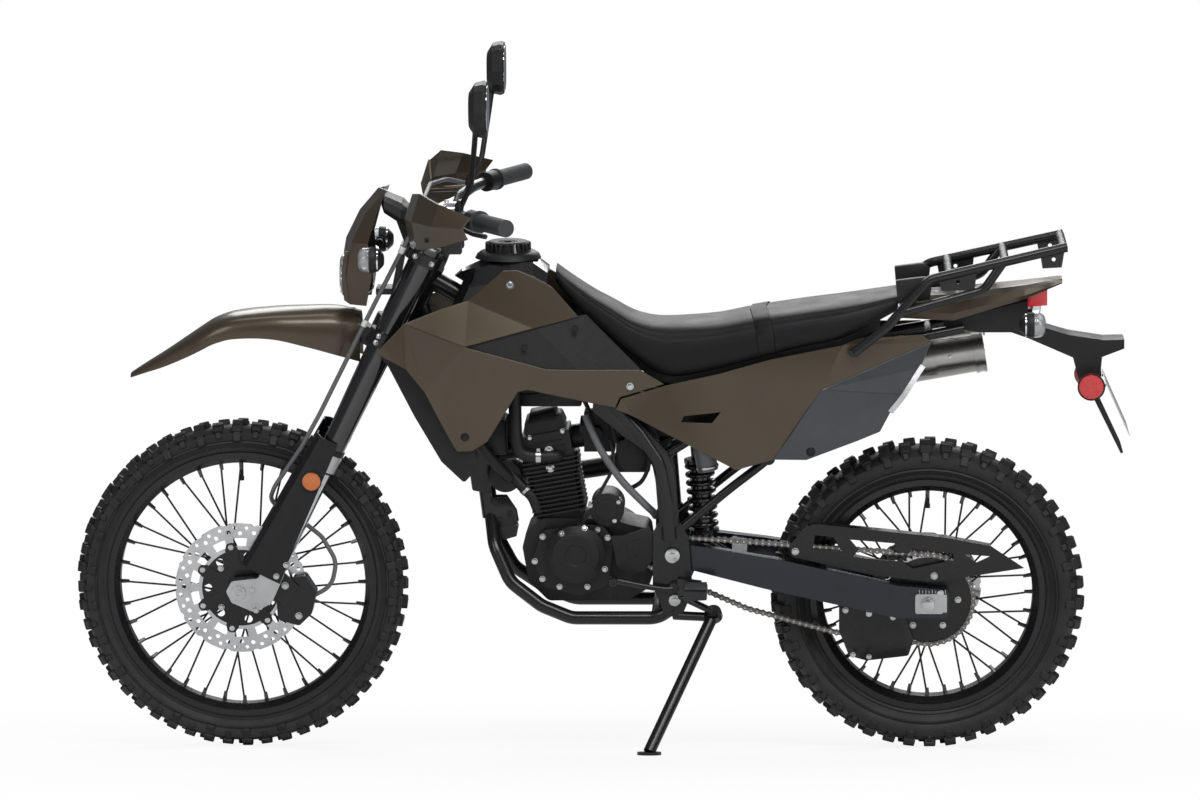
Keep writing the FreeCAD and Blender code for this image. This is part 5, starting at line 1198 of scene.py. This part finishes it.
HOUSING = [(0, 0), (0, 9), (2, 13), (9, 20), (16, 24.6), (20, 25.6), (27, 26), (29, 25.6), (29, 23.6),
           (24, 23)]
DOME = [(25, 24.8), (30, 25.0), (40, 24.2), (46, 21.6), (50, 16.5), (51.8, 8), (52, 0)]
DISH = [(12, 0), (13, 8), (17, 15), (22, 20), (27, 22.6), (27, 23.2), (11, 23.2)]


def signals(word, start, way, stalks, where):
    """Round turn signals on both sides: housings with their stalks, domed lenses and inner dishes."""
    axis = (way, 0, 0)
    piece(word + "_signal_housings", "black_plastic", pair(lathe(HOUSING, start, axis, 40), *stalks),
          stands_for=(word + "_turn_signals",), **where)
    piece(word + "_signal_lenses", "clear_lens", pair(lathe(DOME, start, axis, 40)), **where)
    piece(word + "_signal_dishes", "reflector", pair(lathe(DISH, start, axis, 40)), **where)


class MOTO_OT_lamps(bpy.types.Operator):
    """Headlamp, turn signals, tail lamp and reflectors"""

    bl_idname = "moto.lamps"
    bl_label = "Lamps"

    def execute(self, context):
        stations = ((150, 44, -88, -5), (182, 45, -89, -3), (190, 43.5, -87, -5), (195, 36, -81, -12),
                    (197, 22, -66, -28))
        rings = [[(x, y, (low + high) / 2 + z) for y, z in squared_ring(wide, (high - low) / 2, 0.45)]
                 for x, wide, low, high in stations]
        piece("headlamp_lens", "clear_lens", loft(rings), smooth=40.0, stands_for=("headlamp",), merge=True,
              **ON_BARS)
        bowl = [(146, 0), (147, 12), (152, 24), (160, 34), (172, 41), (184, 43.6), (184, 44.4), (145, 44.4),
                (130, 30), (125, 0)]
        piece("headlamp_bowl", "reflector", lathe(bowl, (0, 0, -46), ALONG, 48),
              turned(9, 26, (163, 0, -46), ALONG, 20, 2.0, 7), **ON_BARS)
        signals("front", (99, 140, 3), 1, [turned(7.6, 36, (124, 102, 3), ACROSS, 20),
                                           turned(10, 12, (124, 112, 3), ACROSS, 20, 1.5)], ON_BARS)
        signals("rear", (-178, 128, 880), -1, [turned(6.8, 74, (-203, 72, 880), ACROSS, 20),
                                               turned(9.5, 14, (-203, 98, 880), ACROSS, 20, 1.5)], ON_FRAME)
        spot = (-323, 0, 747)
        rim = [(71, 26), (79, 27.6), (80, 27), (80, 25), (78.4, 24.6)]
        face = [(78, 25), (79.4, 24), (80, 14), (80.2, 0)]
        piece("side_reflector_rims", "black_plastic", pair(lathe(rim, spot, ACROSS, 48)))
        piece("side_reflector_faces", "red_lens", pair(lathe(face, spot, ACROSS, 48)))
        paint_faces(NODES["tail_lamp_and_reflectors"].data, "clear_lens", lambda p: p.x > -250 and p.z < 910)
        return {"FINISHED"}


MUFFLER_START = Vector((230, -158, 733))
MUFFLER_RUN = Vector((-math.cos(math.radians(9)), 0, math.sin(math.radians(9))))
FUEL_CAP_X = 838


class MOTO_OT_fittings(bpy.types.Operator):
    """Fasteners on the panels, exhaust bands, rack pads, levers, peg treads and the fuel cap"""

    bl_idname = "moto.fittings"
    bl_label = "Fittings"

    def execute(self, context):
        for side, word in ((1, "left"), (-1, "right")):
            fasteners("shroud_bolts_" + word, ("shrouds",), [(920, 660, 6.5)], side, "black_plastic")
            fasteners("shroud_tops_" + word, ("shrouds", "fuel_tank"), [(830, 958, 6.5), (592, 758, 6)], side)
            fasteners("panel_bolts_" + word, ("number_panels", "side_panels"), [(234, 628, 7)], side,
                      "black_plastic")
        fasteners("guard_bolts_left", ("hand_guards",), [(978, 1085, 4)], 1, "black_plastic", "steering")
        band = [(-3, 45.6), (-3, 49.4), (3, 49.4), (3, 45.6)]
        collar = [(60, 51.4), (60, 53), (72, 53), (72, 51.4)]
        piece("muffler_bands", "muffler_steel",
              *[lathe(band, MUFFLER_START + MUFFLER_RUN * along, MUFFLER_RUN, 48, True)
                for along in (332, 348)],
              lathe(collar, MUFFLER_START, MUFFLER_RUN, 48, True))
        rivets = [turned(3.4, 4, MUFFLER_START + MUFFLER_RUN * (190 + 45 * i) + Vector((0, 50, 0)),
                         ACROSS, 12, 0.6) for i in range(3)]
        rivets += [turned(3.2, 4, MUFFLER_START + MUFFLER_RUN * 350 + Vector((0, y, z)), MUFFLER_RUN, 12, 0.6)
                   for y, z in ring_of(6, 36)]
        piece("muffler_rivets", "bolt_steel", *rivets)
        edge = [(12, 103, 795), (30, 114, 769), (49, 125, 740), (62, 129, 724), (77, 131, 706)]
        piece("panel_edge_strips", "silver_alloy", pair(loft([
            [(x - 5, y - 3, z - 3), (x - 5, y + 1, z - 3), (x + 4, y + 2.5, z + 3), (x + 4, y - 3, z + 3)]
            for x, y, z in edge])))
        pad = [(66, 965), (8, 972), (-6, 962), (-2, 926), (62, 918)]
        piece("rack_pads", "black_plastic", pair(plate(pad, 84, 101, 3.0)))
        teeth = [block((5, 5, 4), (446 + i * 7, y, 361.5), 0.7) for i in range(6) for y in (140, 185)]
        piece("peg_treads", "grip_rubber", pair(*teeth, block((44, 62, 5), (463, 165, 361), round_by=1.6)))
        piece("foot_levers", "black_paint",
              tube([(506, 118, 350), (520, 124, 346), (560, 127, 352), (608, 129, 362), (628, 130, 366)],
                   6, 14),
              turned(9, 30, (628, 140, 367), ACROSS, 18, 2.0),
              turned(11, 14, (506, 119, 350), ACROSS, 20, 1.5),
              tube([(500, -118, 350), (530, -128, 344), (590, -134, 340), (640, -136, 348)], 6, 14),
              block((34, 26, 8), (652, -138, 352), round_by=2.0))
        piece("plate_bolts", "bolt_steel", pair(turned(4, 3, (-352.5, 60, 748), (-0.9, 0, -0.4), 12, 0.5)))
        spot = (FUEL_CAP_X, 0, 0)
        piece("fuel_cap_grips", "black_plastic",
              lathe([(1030, 20), (1031.4, 30), (1031.4, 38), (1029, 41)], spot, UP, 48),
              turned(7, 3, (FUEL_CAP_X, 0, 1031), UP, 24, 1.0),
              *[turned(2.4, 15, (FUEL_CAP_X + x, y, 1021), UP, 8) for x, y in ring_of(24, 43.4)])
        piece("fuel_cap_seat", "black_plastic",
              lathe([(998, 66), (1006, 62), (1011, 55), (1012, 48), (1011, 40)], spot, UP))
        return {"FINISHED"}


class MOTO_PT_panel(bpy.types.Panel):
    """Lists what the motorcycle's dressing is made of"""

    bl_idname = "MOTO_PT_panel"
    bl_label = "Dual Sport Motorcycle"
    bl_space_type = "VIEW_3D"
    bl_region_type = "UI"
    bl_category = "Motorcycle"

    def draw(self, context):
        column = self.layout.column()
        look = context.scene.motorcycle_look
        for name in MotorcycleLook.__annotations__:
            column.prop(look, name)
        for operator in OPERATORS:
            column.operator(operator.bl_idname)


OPERATORS = (MOTO_OT_finishes, MOTO_OT_panels, MOTO_OT_tyres, MOTO_OT_wheels, MOTO_OT_drive, MOTO_OT_engine,
             MOTO_OT_frame, MOTO_OT_steering, MOTO_OT_seat, MOTO_OT_lamps, MOTO_OT_fittings, MOTO_OT_stage)
CLASSES = (MotorcycleLook,) + OPERATORS + (MOTO_PT_panel,)


def register():
    for item in CLASSES:
        bpy.utils.register_class(item)
    bpy.types.Scene.motorcycle_look = bpy.props.PointerProperty(type=MotorcycleLook)


def unregister():
    del bpy.types.Scene.motorcycle_look
    for item in reversed(CLASSES):
        bpy.utils.unregister_class(item)


def main():
    register()
    for operator in OPERATORS:
        group, name = operator.bl_idname.split(".")
        getattr(getattr(bpy.ops, group), name)()


if __name__ == "__main__":
    main()
